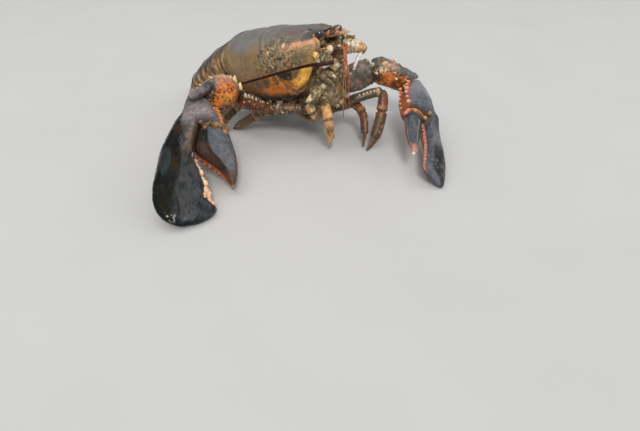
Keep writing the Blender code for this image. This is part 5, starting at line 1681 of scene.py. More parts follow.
        # Thin pale lines along the finger's edge and down its face are painted highlights.
        pale = hump(p.n / half, 0.02, 0.07) * (p.x > 0.3) + hump(p.x, -0.22, 0.09) * (p.n < 0)
        tint = layered(tint,
            ((0.034, 0.038, 0.042), 0.7 * ramp(-p.x, 0.25, 0.45) * (p.n < 0)),
            ((0.3, 0.31, 0.31), 0.7 * np.clip(pale, 0, 1) * ramp(p.s, 10, 16)
             * (1 - ramp(p.s, 52, 60))))
        rim = np.maximum(ramp(p.n / half + 0.08 * fine, 0.14, 0.3) * (p.x > 0.3),
                         0.8 * ramp(edge_low - p.t, -2.4, -0.9))
        tint = layered(tint,
            ((0.34, 0.075, 0.05), 0.88 * rim),
            ((0.4, 0.2, 0.165), ramp(p.s + 1.6 * fine, 54, 62)),
            ((0.8, 0.72, 0.62), ramp(p.s + 0.6 * fine, 67.5, 70)),
            ((0.03, 0.034, 0.03), 0.8 * hump(p.s, 9.5, 3) * (1 - rim)),
            ((0.3, 0.13, 0.06), 1 - ramp(p.s + fine, 3, 6.5)),
            ((0.38, 0.13, 0.075), 0.6 * ramp(p.n / half, 0.75, 0.95)))
        shape = Shape("cutter_finger")
        shape.tube(grid, tint, 0.2)
        s = np.linspace(12, 66, 30)
        size = 0.85 + 0.5 * (np.arange(30) % 5 == 1)
        shape.studs(p.edge(s, False, np.where(np.arange(30) % 2, 0.7, -0.7)), 0.4, size,
                    size * 1.2 + 0.5, (0.52, 0.22, 0.16), (0.76, 0.52, 0.42), point=0.35, sides=12,
                    rings=5)
        line, a = sheet(20, 84)
        x, u = superellipse(a, 2.3)
        fold = 1 + 0.04 * np.sin(line * 19 + 2 * x) - 0.25 * (hump(line, 0, 0.12) + hump(line, 1, 0.1))
        collar = p.point(-3.2 + 4.6 * line, 0.8 + 11 * x * fold, 9.6 * u * fold)
        folds = ramp(np.sin(line * 19 + 2 * x), -1, 1)
        shape.tube(collar, mix((0.22, 0.1, 0.04), (0.5, 0.2, 0.09), folds))
        knob = p.point(np.array((4.5, 4.5)), np.array((-7, 8.5)), np.array((-9.4, -8.4)))
        shape.knobs(knob, -p.face, 3, 2.8, (0.26, 0.14, 0.07), (0.55, 0.3, 0.17), point=0.1, sides=18,
                    rings=8)
        knob = p.point(np.array((-1, 2.5)), np.array((11, 12)), np.array((-1, 1.5)))
        shape.knobs(knob, p.across - 0.3 * p.face, 3.6, 3, (0.5, 0.115, 0.07), (0.7, 0.24, 0.17),
                    point=0.1, sides=20, rings=8)
        self.wardrobe.dress(shape, Finish.CLAW, "claw_dactyl_l")


# ---- jointed limbs ----
@dataclass
class Limb:
    """Skin of a jointed limb along a smooth curve, drawn in to a soft ring at each joint.

    The radius at run r is the station radius times
    1 - pinch bell(r - j) + flare bell(r - j + gap) + 0.6 flare bell(r - j - gap) at each joint j.
    """

    knots: Sequence
    radii: Sequence
    joints: tuple = ()
    hint: tuple = (0, 0.3, 1)
    spacing: float = 0.75
    sides: int = 44
    power: float = 2
    pinch: float = 0.3
    flare: float = 0.09
    seed: int = 1
    blunt: tuple = (2, 2)
    span: tuple = (0, 99)

    def __post_init__(self) -> None:
        """Work out the path, the rings and the outward directions.

        Joints and the span that is kept are given in knot numbers, with fractions between knots.
        """
        dense = resample([(*k, *r) for k, r in zip(self.knots, self.radii)], 1200)
        knot = np.linspace(0, len(self.knots) - 1, 1200)
        keep = (knot >= self.span[0]) & (knot <= self.span[1])
        dense, knot = dense[keep], knot[keep]
        run = arc(dense[:, :3])
        rows = max(int(run[-1] / self.spacing), 12)
        at = np.linspace(0, run[-1], rows)
        table = np.stack([np.interp(at, run, column) for column in dense.T], -1)
        self.run, self.length, self.path = at, run[-1], table[:, :3]
        self.breaks = np.interp(self.joints, knot, run) if self.joints else np.zeros(0)
        size = table[:, 3:].copy()
        gap = 0.55 * size.mean(1)
        factor = np.ones(rows)
        for joint in self.breaks:
            away = at - joint
            factor += (-self.pinch * np.exp(-(np.abs(away) / (0.3 * gap)) ** 3)
                       + self.flare * np.exp(-((away + gap) / (0.55 * gap)) ** 2)
                       + 0.6 * self.flare * np.exp(-((away - gap) / (0.6 * gap)) ** 2))
        start, end = self.blunt
        factor *= np.sqrt(np.clip(1 - (1 - at / start).clip(0) ** 2 * 0.9, 0.05, 1))
        factor *= np.sqrt(np.clip(1 - (1 - (self.length - at) / end).clip(0) ** 2 * 0.95, 0.04, 1))
        self.size = size * factor[:, None]
        self.tangent, self.across, self.high = path_frames(self.path, np.array(self.hint))
        self.angle = np.arange(self.sides) * (2 * math.pi / self.sides)
        x, u = superellipse(self.angle, self.power)
        self.base = (self.path[:, None] + self.across[:, None] * (self.size[:, :1] * x)[..., None]
                     + self.high[:, None] * (self.size[:, 1:] * u)[..., None])
        self.out = unit(self.across[:, None] * (x / self.size[:, :1])[..., None]
                        + self.high[:, None] * (u / self.size[:, 1:])[..., None])
        self.near = np.full(rows, 1e3)
        for joint in self.breaks:
            self.near = np.minimum(self.near, np.abs(at - joint))

    @property
    def share(self) -> Array:
        """Share of the length at each ring, as a column."""
        return self.run[:, None] / self.length

    def raised(self, height: Array) -> Array:
        """Rings pushed out by a height, kept on the floor."""
        return above_floor(self.base + self.out * height[..., None])

    def at(self, run: Array, turn: Array) -> tuple[Array, Array]:
        """Skin points and outward directions at runs (mm) and turns (0..1 round from across)."""
        i = np.clip(np.round(np.asarray(run, float) / self.length * (len(self.run) - 1)), 0,
                    len(self.run) - 1).astype(int)
        j = np.round(np.asarray(turn, float) * self.sides).astype(int) % self.sides
        i, j = np.broadcast_arrays(i, j)
        return self.base[i, j], self.out[i, j]

    def strewn(self, rng: np.random.Generator, count: int, low: float, high: float,
               turn: float | None = None, spread: float = 0) -> tuple[Array, Array]:
        """Chance places between two shares of the length, all round or spread about a turn."""
        runs = rng.uniform(low, high, count) * self.length
        turns = rng.uniform(0, 1, count) if turn is None else turn + rng.normal(0, spread, count)
        return self.at(runs, turns)

    def facing(self, direction: Sequence[float], run: float) -> float:
        """The turn whose outward direction is nearest to a given one at a run."""
        i = int(np.clip(run / self.length, 0, 1) * (len(self.run) - 1))
        return float(np.argmax(self.out[i] @ unit(np.array(direction, float)))) / self.sides

    def skin(self, shape: Shape, tint: Array, rough: float = 0.3, mask: Array | float = 0.2,
             warts: float = 0, ring: float = 0.85) -> Array:
        """Add the limb's skin: broad and fine lumps, warts and darkened joints."""
        height = rough * noise(self.base, 6, 3, self.seed) + warts * beads(self.base, 3, self.seed, 0.5)
        grid = self.raised(height * ramp(self.near, 0.5, 2.5)[:, None])
        fine = noise(grid, 3.5, 3, self.seed + 3)
        tint = tint * (1 + 0.35 * fine[..., None])
        joint = np.exp(-(self.near / 1.3) ** 2)[:, None]
        tint = mix(tint, (0.055, 0.034, 0.018), ring * joint)
        shape.tube(grid, tint, mask)
        return grid


VIEW_SIDE = (-0.62, -0.55, 0.55)      # out of the body towards its right and front, and up


@dataclass
class Arms:
    """Both claw arms: ischium, merus and carpus of each side, with their spines."""

    wardrobe: Wardrobe

    def build(self) -> None:
        """Make the right arm, then the left."""
        right = dict(coxa=(-17, -121, 55.5), basis=(-26, -130, 48.5), turn=(-31, -127, 45),
                     ischium=(-51, -98.5, 44.5), merus=(-84, -77.5, 63.5),
                     carpus=(-94.8, -61.6, 69.5))
        left = dict(coxa=(17, -121, 55.5), basis=(25, -129, 53), turn=(32, -131, 52),
                    ischium=(43, -133.5, 56), merus=(75, -150, 65),
                    carpus=(84.5, -162.5, 65.5))
        wrists = {}
        for side, claw in (("r", Crusher(self.wardrobe)), ("l", Cutter(self.wardrobe))):
            along = unit(claw.along)
            across = unit(np.array(claw.across) - along * (along @ np.array(claw.across)))
            s, low, high, _, slant = claw.palm[0]
            middle = 0.5 * (low + high)
            wrists[side] = np.array(claw.origin) + along * (s + slant * middle) + across * middle
        hoods = {"r": ((-107, -58, 79.5), (-145.5, -64.5, 78)),
                 "l": ((89.5, -166, 68), (106, -201, 62))}
        for side, joints in (("r", right), ("l", left)):
            self.build_ischium(side, joints)
            self.build_merus(side, joints)
            self.build_carpus(side, joints, wrists[side], *hoods[side])

    def build_ischium(self, side: str, joints: dict) -> None:
        """Root of the arm: coxa, basis and ischium, lumpy and pitted."""
        sizes = ((6.8, 6.6), (6, 5.8)) if side == "r" else ((10, 12), (11.5, 14.5))
        limb = Limb([joints[k] for k in ("coxa", "basis", "turn", "ischium")],
                    ((7.5, 7.5), (7.8, 7.8), *sizes), joints=(1, 1.9), pinch=0.2, seed=200, power=2.1)
        fine = noise(limb.base, 5, 3, 201)
        tint = mix((0.034, 0.019, 0.01), (0.17, 0.078, 0.03), ramp(fine, -0.1, 0.4))
        shape = Shape(f"arm_root_{side}")
        limb.skin(shape, tint, rough=0.7, mask=0.6, warts=0.7)
        rng = np.random.default_rng(5)
        for count, size, colour in ((34, 1, (0.26, 0.12, 0.045)), (8, 1.7, (0.4, 0.18, 0.06))):
            shape.studs(limb.strewn(rng, count, 0.45, 0.97), 0.6, size, size * 1.3, colour, CREAM,
                        point=0.6, sides=10, rings=5)
        self.wardrobe.dress(shape, Finish.BELLY, f"arm_ischium_{side}")

    def build_merus(self, side: str, joints: dict) -> None:
        """Second long segment: rust-red with a row of cream spines along its upper edge."""
        middle = 0.5 * (np.array(joints["ischium"]) + joints["merus"])
        right = side == "r"
        sizes = (((5.8, 5.4), (7.6, 7.6), (9.4, 9.4)) if right
                 else ((11.5, 15), (12.5, 18.5), (12, 15.5)))
        drop = (0, 0, -2.8 if right else 1)
        limb = Limb([joints["ischium"], middle + drop, np.array(joints["merus"]) + drop], sizes,
                    hint=(0, 0, 1), seed=210, power=2.3, blunt=(2.5, 3))
        fine, broad = noise(limb.base, 4, 3, 211), noise(limb.base, 9, 3, 212)
        share = limb.share
        high = np.sin(limb.angle)[None]
        tint = mix((0.05, 0.014, 0.006), (0.21, 0.055, 0.014), ramp(broad + 0.5 * fine, -0.3, 0.4))
        tint = layered(tint,
            ((0.045, 0.052, 0.038), 0.8 * ramp(high + 0.7 * broad, 0.35, 0.85)),
            ((0.115, 0.058, 0.027), 0.6 * (1 - ramp(share, 0, 0.25))))
        grey = mix((0.11, 0.1, 0.085), (0.28, 0.245, 0.215), ramp(fine + 0.5 * broad, -0.3, 0.4))
        tint = layered(tint,
            (grey, 0.9 * (not right) * ramp(broad + 0.8 * high, -0.9, -0.3)),
            ((0.3, 0.15, 0.09), 0.6 * (not right) * ramp(noise(limb.base, 7, 2, 215), 0.15, 0.4)),
            ((0.03, 0.045, 0.036), 0.8 * (not right) * ramp(share + 0.2 * broad, 0.72, 0.95)),
            (YELLOW, 0.6 * ramp(noise(limb.base, 5.5, 2, 214), 0.35, 0.55) * ramp(high, -0.2, 0.4)))
        shape = Shape(f"arm_middle_{side}")
        rim = hump(limb.run, limb.length - 2.4, 1.5)[:, None]
        limb.base = limb.base + limb.out * (0.9 * rim)[..., None]
        limb.skin(shape, tint, rough=0.4, mask=0.5, warts=0.35)
        rng = np.random.default_rng(8 if right else 9)
        toward = limb.facing(VIEW_SIDE if right else (-0.4, -0.7, 0.6), 0.5 * limb.length)
        rows = ((-0.12, 7, 1.9), (0.04, 6, 1)) if right else ((0.1, 3, 1.9),)
        for offset, count, size in (*rows, (0.42, 4, 1.8)):
            runs = (np.linspace(0.2, 0.93, count) + rng.uniform(-0.04, 0.02, count)) * limb.length
            at, out = limb.at(runs, toward + offset + rng.normal(0, 0.018, count))
            grow = size * np.linspace(0.6, 1.3, count) * rng.uniform(0.75, 1.15, count)
            shape.knobs(at - out * 0.9, unit(out + 0.45 * limb.tangent[len(limb.run) // 2]), grow,
                        grow * 2.2 + 0.4, (0.56, 0.28, 0.09), (0.88, 0.78, 0.56), point=0.85,
                        sides=14, rings=7)
        shape.studs(limb.strewn(rng, 40, 0.1, 0.95), 0.3, rng.uniform(0.4, 0.9, 40), 0.8,
                    (0.3, 0.1, 0.03), (0.46, 0.2, 0.07), point=0.4, sides=8, rings=4)
        self.wardrobe.dress(shape, Finish.ORANGE, f"arm_merus_{side}")

    def build_carpus(self, side: str, joints: dict, wrist: Array, start: tuple, end: tuple) -> None:
        """Wrist knuckle: bright orange with black specks, teal on top, spines and the blunt horn."""
        right = side == "r"
        big, start_size = (18.2, 10.5) if right else (16.2, 13)
        limb = Limb([joints["merus"], joints["carpus"], wrist],
                    [(start_size, start_size), (big, big), (12.5, 12.5)],
                    hint=(0, 0, 1), seed=220, power=2.2, sides=110, spacing=0.55, blunt=(4, 3))
        broad, fine = noise(limb.base, 9, 3, 221), noise(limb.base, 3.5, 3, 222)
        up = limb.out[..., 2] + 0.35 * broad
        share = limb.share
        tint = mix((0.56, 0.14, 0.022), (0.76, 0.25, 0.045), ramp(broad + 0.6 * fine, -0.3, 0.35))
        if not right:
            tint = tint * (0.86, 0.74, 0.72)
        slate = mix((0.12, 0.12, 0.098), (0.46, 0.27, 0.16), ramp(fine, -0.2, 0.3))
        tint = mix(tint, slate, ramp(up, 0.62, 0.86) if right else ramp(up, 0.34, 0.66))
        # The knuckle darkens towards the wrist end, broken by noise: painted shade under the
        # overhanging hood.
        late = (0.7, 0.82) if right else (0.47, 0.58)
        tint = layered(tint,
            (DARK, 0.85 * ramp(share + 0.1 * broad, *late) * ramp(fine, -0.35, 0.05)),
            ((0.2, 0.055, 0.016), 0.6 * (1 - ramp(share, 0.04, 0.2 if right else 0.34))))
        specks = ramp(beads(limb.base, 3.5, 226, 0.75), 0.38, 0.54)
        if not right:
            gloom = mix((0.03, 0.034, 0.028), (0.09, 0.075, 0.05), ramp(fine, -0.2, 0.4))
            tint = mix(tint, gloom, 0.9 * (1 - ramp(share + 0.12 * broad, 0.15, 0.29)))
        # A teal-black patch round the spot where the hood leaves the knuckle: painted shade in that
        # hollow.
        hollow = np.array((-113, -59, 75) if right else (96, -178, 61))
        away = np.linalg.norm(limb.base - hollow, axis=-1) + 2 * fine
        tint = layered(tint,
            ((0.018, 0.026, 0.024), 0.9 * (1 - ramp(away, 9, 14))),
            ((0.8, 0.62, 0.3), 0.85 * (not right) * hump(share, 0.22, 0.09) * hump(up, 0.36, 0.2)),
            ((0.016, 0.012, 0.01), 0.95 * specks * (1 - ramp(up, 0.6, 0.8))),
            (YELLOW, 0.55 * ramp(noise(limb.base, 6, 2, 224), 0.3, 0.5) * (1 - ramp(up, 0.3, 0.6))))
        shape = Shape(f"wrist_{side}")
        lump = 1 * beads(limb.base, 5, 225, 0.5) * ramp(up, -0.6, 0.5)
        rim = hump(limb.run, limb.length - 2.2, 1.4)[:, None] * 0.9
        limb.base = limb.base + limb.out * (lump + rim)[..., None]
        limb.skin(shape, tint, rough=0.9, mask=0.25, warts=0.25)
        self.add_carpus_spines(shape, limb, side)
        self.add_hood(shape, np.array(start), np.array(end), side)
        self.wardrobe.dress(shape, Finish.ORANGE, f"arm_carpus_{side}")

    def add_carpus_spines(self, shape: Shape, limb: Limb, side: str) -> None:
        """Spines on the upper edges and a row of tubercles along the front margin of the knuckle."""
        right = side == "r"
        inner = 1 if right else -1
        toward = limb.facing((-0.55, -0.62, 0.55), 0.5 * limb.length)
        specs = (((inner * 0.5, -0.25, 0.85), (0.06, 0.24), 3.3, (0.74, 0.46, 0.16)),
                 ((inner * 0.85, -0.45, 0.25), (0.12, 0.55), 2.3, (0.62, 0.32, 0.1)),
                 ((-0.2 * inner, 0.2, 1), (0.3, 0.55, 0.8) if right else (0.38,), 2.3,
                  (0.62, 0.2, 0.07)),
                 ((0, -0.8, -0.3), (0.8,), 2, (0.62, 0.34, 0.14)))
        for direction, shares, size, colour in specs:
            runs = np.array(shares) * limb.length
            shape.studs(limb.at(runs, limb.facing(direction, 0.5 * limb.length)), 1, size,
                        size * 1.8 + 0.6, colour, (0.8, 0.66, 0.44),
                        lean=0.3 * limb.tangent[len(limb.run) // 2], point=0.65, sides=16, rings=8)
        turn = toward + np.linspace(-0.2, 0.17, 8)
        # On the left the row is smaller and its colours dimmed to 0.4: painted shade under the hood.
        dim = 1 if right else 0.4
        root, tip = (tuple(dim * c for c in colour)
                     for colour in ((0.66, 0.22, 0.06), (0.86, 0.55, 0.32)))
        shape.studs(limb.at(0.955 * limb.length, turn), 0.5, 1.8 * dim**0.4, 2.8 * dim**0.4, root,
                    tip, point=0.35, sides=14, rings=6)
        rng = np.random.default_rng(31)
        at, out = limb.strewn(rng, 70, 0.12, 0.9)
        up = out[:, 2] > 0.1
        shape.knobs(at[up] - out[up] * 0.2, out[up], rng.uniform(0.5, 1.2, up.sum()), 0.9,
                    (0.18, 0.13, 0.09), (0.4, 0.26, 0.14), point=0.3, sides=8, rings=4)
        rng = np.random.default_rng(32)
        below = limb.facing((0.4, -0.3, -0.85), 0.5 * limb.length)
        self.wardrobe.bristles.add(limb.strewn(rng, 26, 0.25, 0.95, below, 0.05), 0, 8, 0.16,
                                   (0.5, 0.44, 0.3))

    def add_hood(self, shape: Shape, start: Array, end: Array, side: str) -> None:
        """The smooth blunt horn that overhangs the wrist, purple-grey with a paler tip; lighter on top
        and darker below and at its root, as painted light and shade.
        """
        swell = (1.1, 1.05, 0.92, 0.85, 0.6) if side == "r" else (1.2, 1.3, 1.1, 0.85, 0.5)
        limb = Limb([start + (end - start) * k for k in (0, 0.25, 0.5, 0.75, 1)],
                    [(5.8 * f, 5.8 * f) for f in swell], hint=(0, 0, 1), seed=230, sides=56,
                    blunt=(5, 4.5))
        share = limb.share
        fine = noise(limb.base, 3.5, 3, 231)
        up = limb.out[..., 2]
        # Lighter where the skin faces up, darker where it faces down, and near black where it leaves
        # the knuckle: painted light and shade.
        tint = mix((0.085, 0.06, 0.062), (0.15, 0.13, 0.125), ramp(up + 0.5 * fine, -0.3, 0.7))
        tint = layered(tint,
            ((0.06, 0.032, 0.034), 0.6 * ramp(-up, -0.1, 0.5)),
            ((0.11, 0.118, 0.128), 0.7 * (side == "l") * ramp(share, 0.4, 0.7) * ramp(up, -0.2, 0.5)),
            ((0.016, 0.022, 0.024), 0.85 * (1 - ramp(share + 0.15 * fine, 0.12, 0.38))),
            ((0.34, 0.3, 0.27), 0.6 * ramp(share + 0.06 * fine, 0.94, 0.99) * (side == "l")),
            ((0.028, 0.03, 0.03), 0.75 * ramp(noise(limb.base, 7, 3, 233) + 0.5 * (0.5 - share), 0.05,
             0.3)))
        limb.skin(shape, tint, rough=0.5, mask=0.1, warts=0.2)


@dataclass
class WalkingLegs:
    """Four pairs of walking legs; the first two pairs end in small pincers."""

    wardrobe: Wardrobe
    forwards: tuple = (92, 74, 56, 38)
    aside: float = 19
    stations: tuple = Carapace.stations
    bows: dict = field(default_factory=lambda: {"l2": (3.5, 0, -3)})

    def build(self) -> None:
        """Make the eight legs."""
        joints = {
            "r2": ((-16, -114, 34), (-18, -131, 29), (-21, -148, 43),
                   (-23, -156, 54.5), (-35, -171, 47.5), (-18, -164, 0)),
            "r3": ((-26, -95, 33), (-38, -90, 33), (-51, -82, 34),
                   (-55, -71, 25), (-64, -40, 0)),
            "r4": ((-26, -77, 28), (-38, -68, 33), (-54, -54, 38),
                   (-63, -44, 29), (-77, -27, 0)),
            "r5": ((-26, -58, 26), (-39, -45, 32), (-56, -28, 38),
                   (-67, -19, 28), (-80, -10, 0)),
            "l2": ((19.5, -115, 31), (20, -131, 28), (22, -152, 41),
                   (26, -167, 52), (47, -185.5, 57), (39.5, -194.5, 38),
                   (2, -201, 0)),
            "l3": ((27, -103, 29), (35, -123, 22.5), (39, -143, 31),
                   (31, -156.5, 41), (26, -176, 35), (7.5, -193.5, 0)),
            "l4": ((26, -77, 28), (38, -75, 34), (52, -72, 42),
                   (60, -66, 31), (34, -60, 0)),
            "l5": ((26, -58, 26), (38, -48, 32), (52, -38, 40),
                   (60, -30, 29), (46, -24, 0)),
        }
        looks = {"r2": ((0.24, 0.14, 0.055), (0.58, 0.32, 0.12)),
                 "l3": ((0.27, 0.138, 0.06), (0.145, 0.058, 0.025)),
                 "l2": ((0.075, 0.056, 0.036), (0.1, 0.058, 0.036))}
        for tag, places in joints.items():
            upper, lower = looks.get(tag, ((0.125, 0.086, 0.038), (0.135, 0.08, 0.033)))
            self.build_leg(tag, self.forwards[int(tag[1]) - 2], places, upper, lower)

    def build_leg(self, tag: str, forward: float, places: tuple, upper: Colour,
                  lower: Colour) -> None:
        """One leg: hip, thigh, knee and ankle segments, and a pincer or a clawed tip.

        Args:
            tag: side and number.
            forward: where it is rooted along the trunk.
            places: hip, thigh points, knee, ankle and tip.
            upper: colour of the thigh.
            lower: colour below the knee.
        """
        sign = -1 if tag[0] == "r" else 1
        bottom = float(blend(self.stations, forward)[2]) - 5.6
        places = [np.array(p) for p in places]
        ankle, tip = places[-2], places[-1]
        bow = self.bows.get(tag, (0, 0, 0))
        finger = ankle + 0.5 * (tip - ankle) + unit(ankle - places[-3]) * 4 + bow
        thigh = places[:-3]
        knots = [trunk(forward, sign * self.aside, bottom), *thigh, places[-3], ankle, finger, tip]
        widths = [8.6, 5.67] + [6.3] * (len(thigh) - 1) + [5.8, 5.6, 5.04, 1.3]
        if tag == "l2":
            widths[-4:] = [6.6, 7.4, 7.2, 2]
        radii = [(0.8 * w, w) for w in widths]
        last = len(knots) - 1
        pincer = tag[1] in "23"
        joints = (0.55, 1.25, last - 3, last - 2) + (() if pincer else (last - 0.95,))
        limb = Limb(knots, radii, joints=joints, hint=(0.15, 0.1, 1), seed=300 + int(tag[1]) * 7,
                    power=2.15, sides=48, span=(0, last - 0.92 if pincer else last),
                    blunt=(2, 2.2 if pincer else 1.2), pinch=0.26)
        knee = limb.breaks[2]
        fine, broad = noise(limb.base, 3.5, 3, 301), noise(limb.base, 10, 3, 302)
        low = ramp(limb.run, knee - 2, knee + 2)[:, None]
        tint = mix(upper, lower, low)
        tint = layered(tint,
            ((0.045, 0.036, 0.02), 0.75 * ramp(broad + 0.5 * fine, 0.1, 0.42)),
            ((0.52, 0.27, 0.1), 0.5 * ramp(noise(limb.base, 5, 2, 303), 0.2, 0.45)),
            ((0.26, 0.06, 0.02), 0.6 * low * ramp(-broad, 0.05, 0.35)))
        for joint in limb.breaks[1:]:
            tint = mix(tint, (0.47, 0.25, 0.1), 0.55 * hump(limb.run, joint - 4.5, 2)[:, None])
        tint = mix(tint, (0.045, 0.045, 0.03), 0.75 * (1 - ramp(limb.run, 7, 16))[:, None])
        end = ramp(limb.run, limb.length - 9, limb.length)[:, None] * (0 if pincer else 1)
        tint = mix(tint, (0.06, 0.034, 0.02), end)
        shape = Shape(f"walking_leg_{tag}")
        limb.skin(shape, tint, rough=0.35, mask=0.35, warts=0.2)
        self.add_leg_spines(shape, limb, tag, knee)
        if pincer:
            self.add_pincer(shape, knots, radii, last, lower)
        else:
            runs = np.linspace(limb.length - 16, limb.length - 3, 30)
            self.wardrobe.bristles.add(limb.at(runs, np.linspace(0, 6.4, 30) % 1),
                                       limb.tangent[-1] * 1.5, 2.6, 0.12, (0.3, 0.19, 0.1))
        rng = np.random.default_rng(int(tag[1]) + (10 if tag[0] == "r" else 0))
        self.wardrobe.bristles.add(limb.at(rng.uniform(knee, limb.length, 70), rng.uniform(0, 1, 70)),
                                   limb.tangent[-1] * 1.2, 2.4, 0.1, (0.34, 0.24, 0.13))
        self.wardrobe.dress(shape, Finish.OLIVE, f"leg_{tag[0]}_{tag[1]}")

    def add_leg_spines(self, shape: Shape, limb: Limb, tag: str, knee: float) -> None:
        """Spines at the lower rim of each segment, and the row on the left first leg's thigh."""
        for joint in limb.breaks[1:]:
            turn = np.array((0.12, 0.25, 0.38, 0.62, 0.88))
            row = int(np.clip(joint / limb.length, 0, 1) * (len(limb.run) - 1))
            shape.studs(limb.at(max(joint - 2.6, 0), turn), 0.5, 0.75, 1.9, (0.45, 0.24, 0.09), CREAM,
                        lean=0.9 * limb.tangent[row], point=0.85, sides=8, rings=5)
        if tag == "l2":
            runs = np.linspace(knee - 26, knee - 5, 6)
            shape.studs(limb.at(runs, limb.facing((-0.45, -0.35, 0.85), knee - 14)), 0.7, 1.7, 3.4,
                        (0.6, 0.3, 0.12), (0.85, 0.74, 0.56), point=0.6, sides=12, rings=6)

    def add_pincer(self, shape: Shape, knots: list, radii: list, last: float, colour: Colour) -> None:
        """Two slim fingers side by side that meet at dark tips.

        Each is bent out by its gap times sin(pi share)^0.8 (1 - 0.55 share).
        """
        dense = resample([(*k, *r) for k, r in zip(knots, radii)], 600)
        knot = np.linspace(0, last, 600)
        part = dense[knot >= last - 1.12][::12]
        path, size = part[:, :3], part[:, 4]
        high = path_frames(path, np.array((0.15, 0.1, 1)))[2]
        share = np.linspace(0, 1, len(path))
        for side, gap, thick in ((-1, 1.9, 0.46), (1, 2, 0.5)):
            aside = high * (side * (0.42 * size * (1 - share) + gap * np.sin(math.pi * share) ** 0.8
                                    * (1 - 0.55 * share)))[:, None]
            grow = thick * size * (1 - 0.3 * share)
            limb = Limb([tuple(p) for p in path + aside], [(0.8 * g, g) for g in grow],
                        hint=tuple(high[0]), joints=(1.2,) if side > 0 else (), spacing=0.6, sides=28,
                        seed=330, blunt=(1.5, 1.6), pinch=0.2)
            s = limb.share
            fine = noise(limb.base, 3, 3, 331)
            tint = mix(np.broadcast_to(colour, fine.shape + (3,)), (0.3, 0.105, 0.04),
                       0.5 * ramp(fine, -0.1, 0.4))
            tint = mix(tint, (0.035, 0.024, 0.018), ramp(s + 0.05 * fine, 0.62, 0.95))
            limb.skin(shape, tint, rough=0.2, mask=0.3)
            runs = np.linspace(0.15, 0.92, 30) * limb.length
            self.wardrobe.bristles.add(limb.at(runs, np.linspace(0, 7.3, 30) % 1), limb.tangent[-1],
                                       2, 0.1, (0.36, 0.27, 0.15))


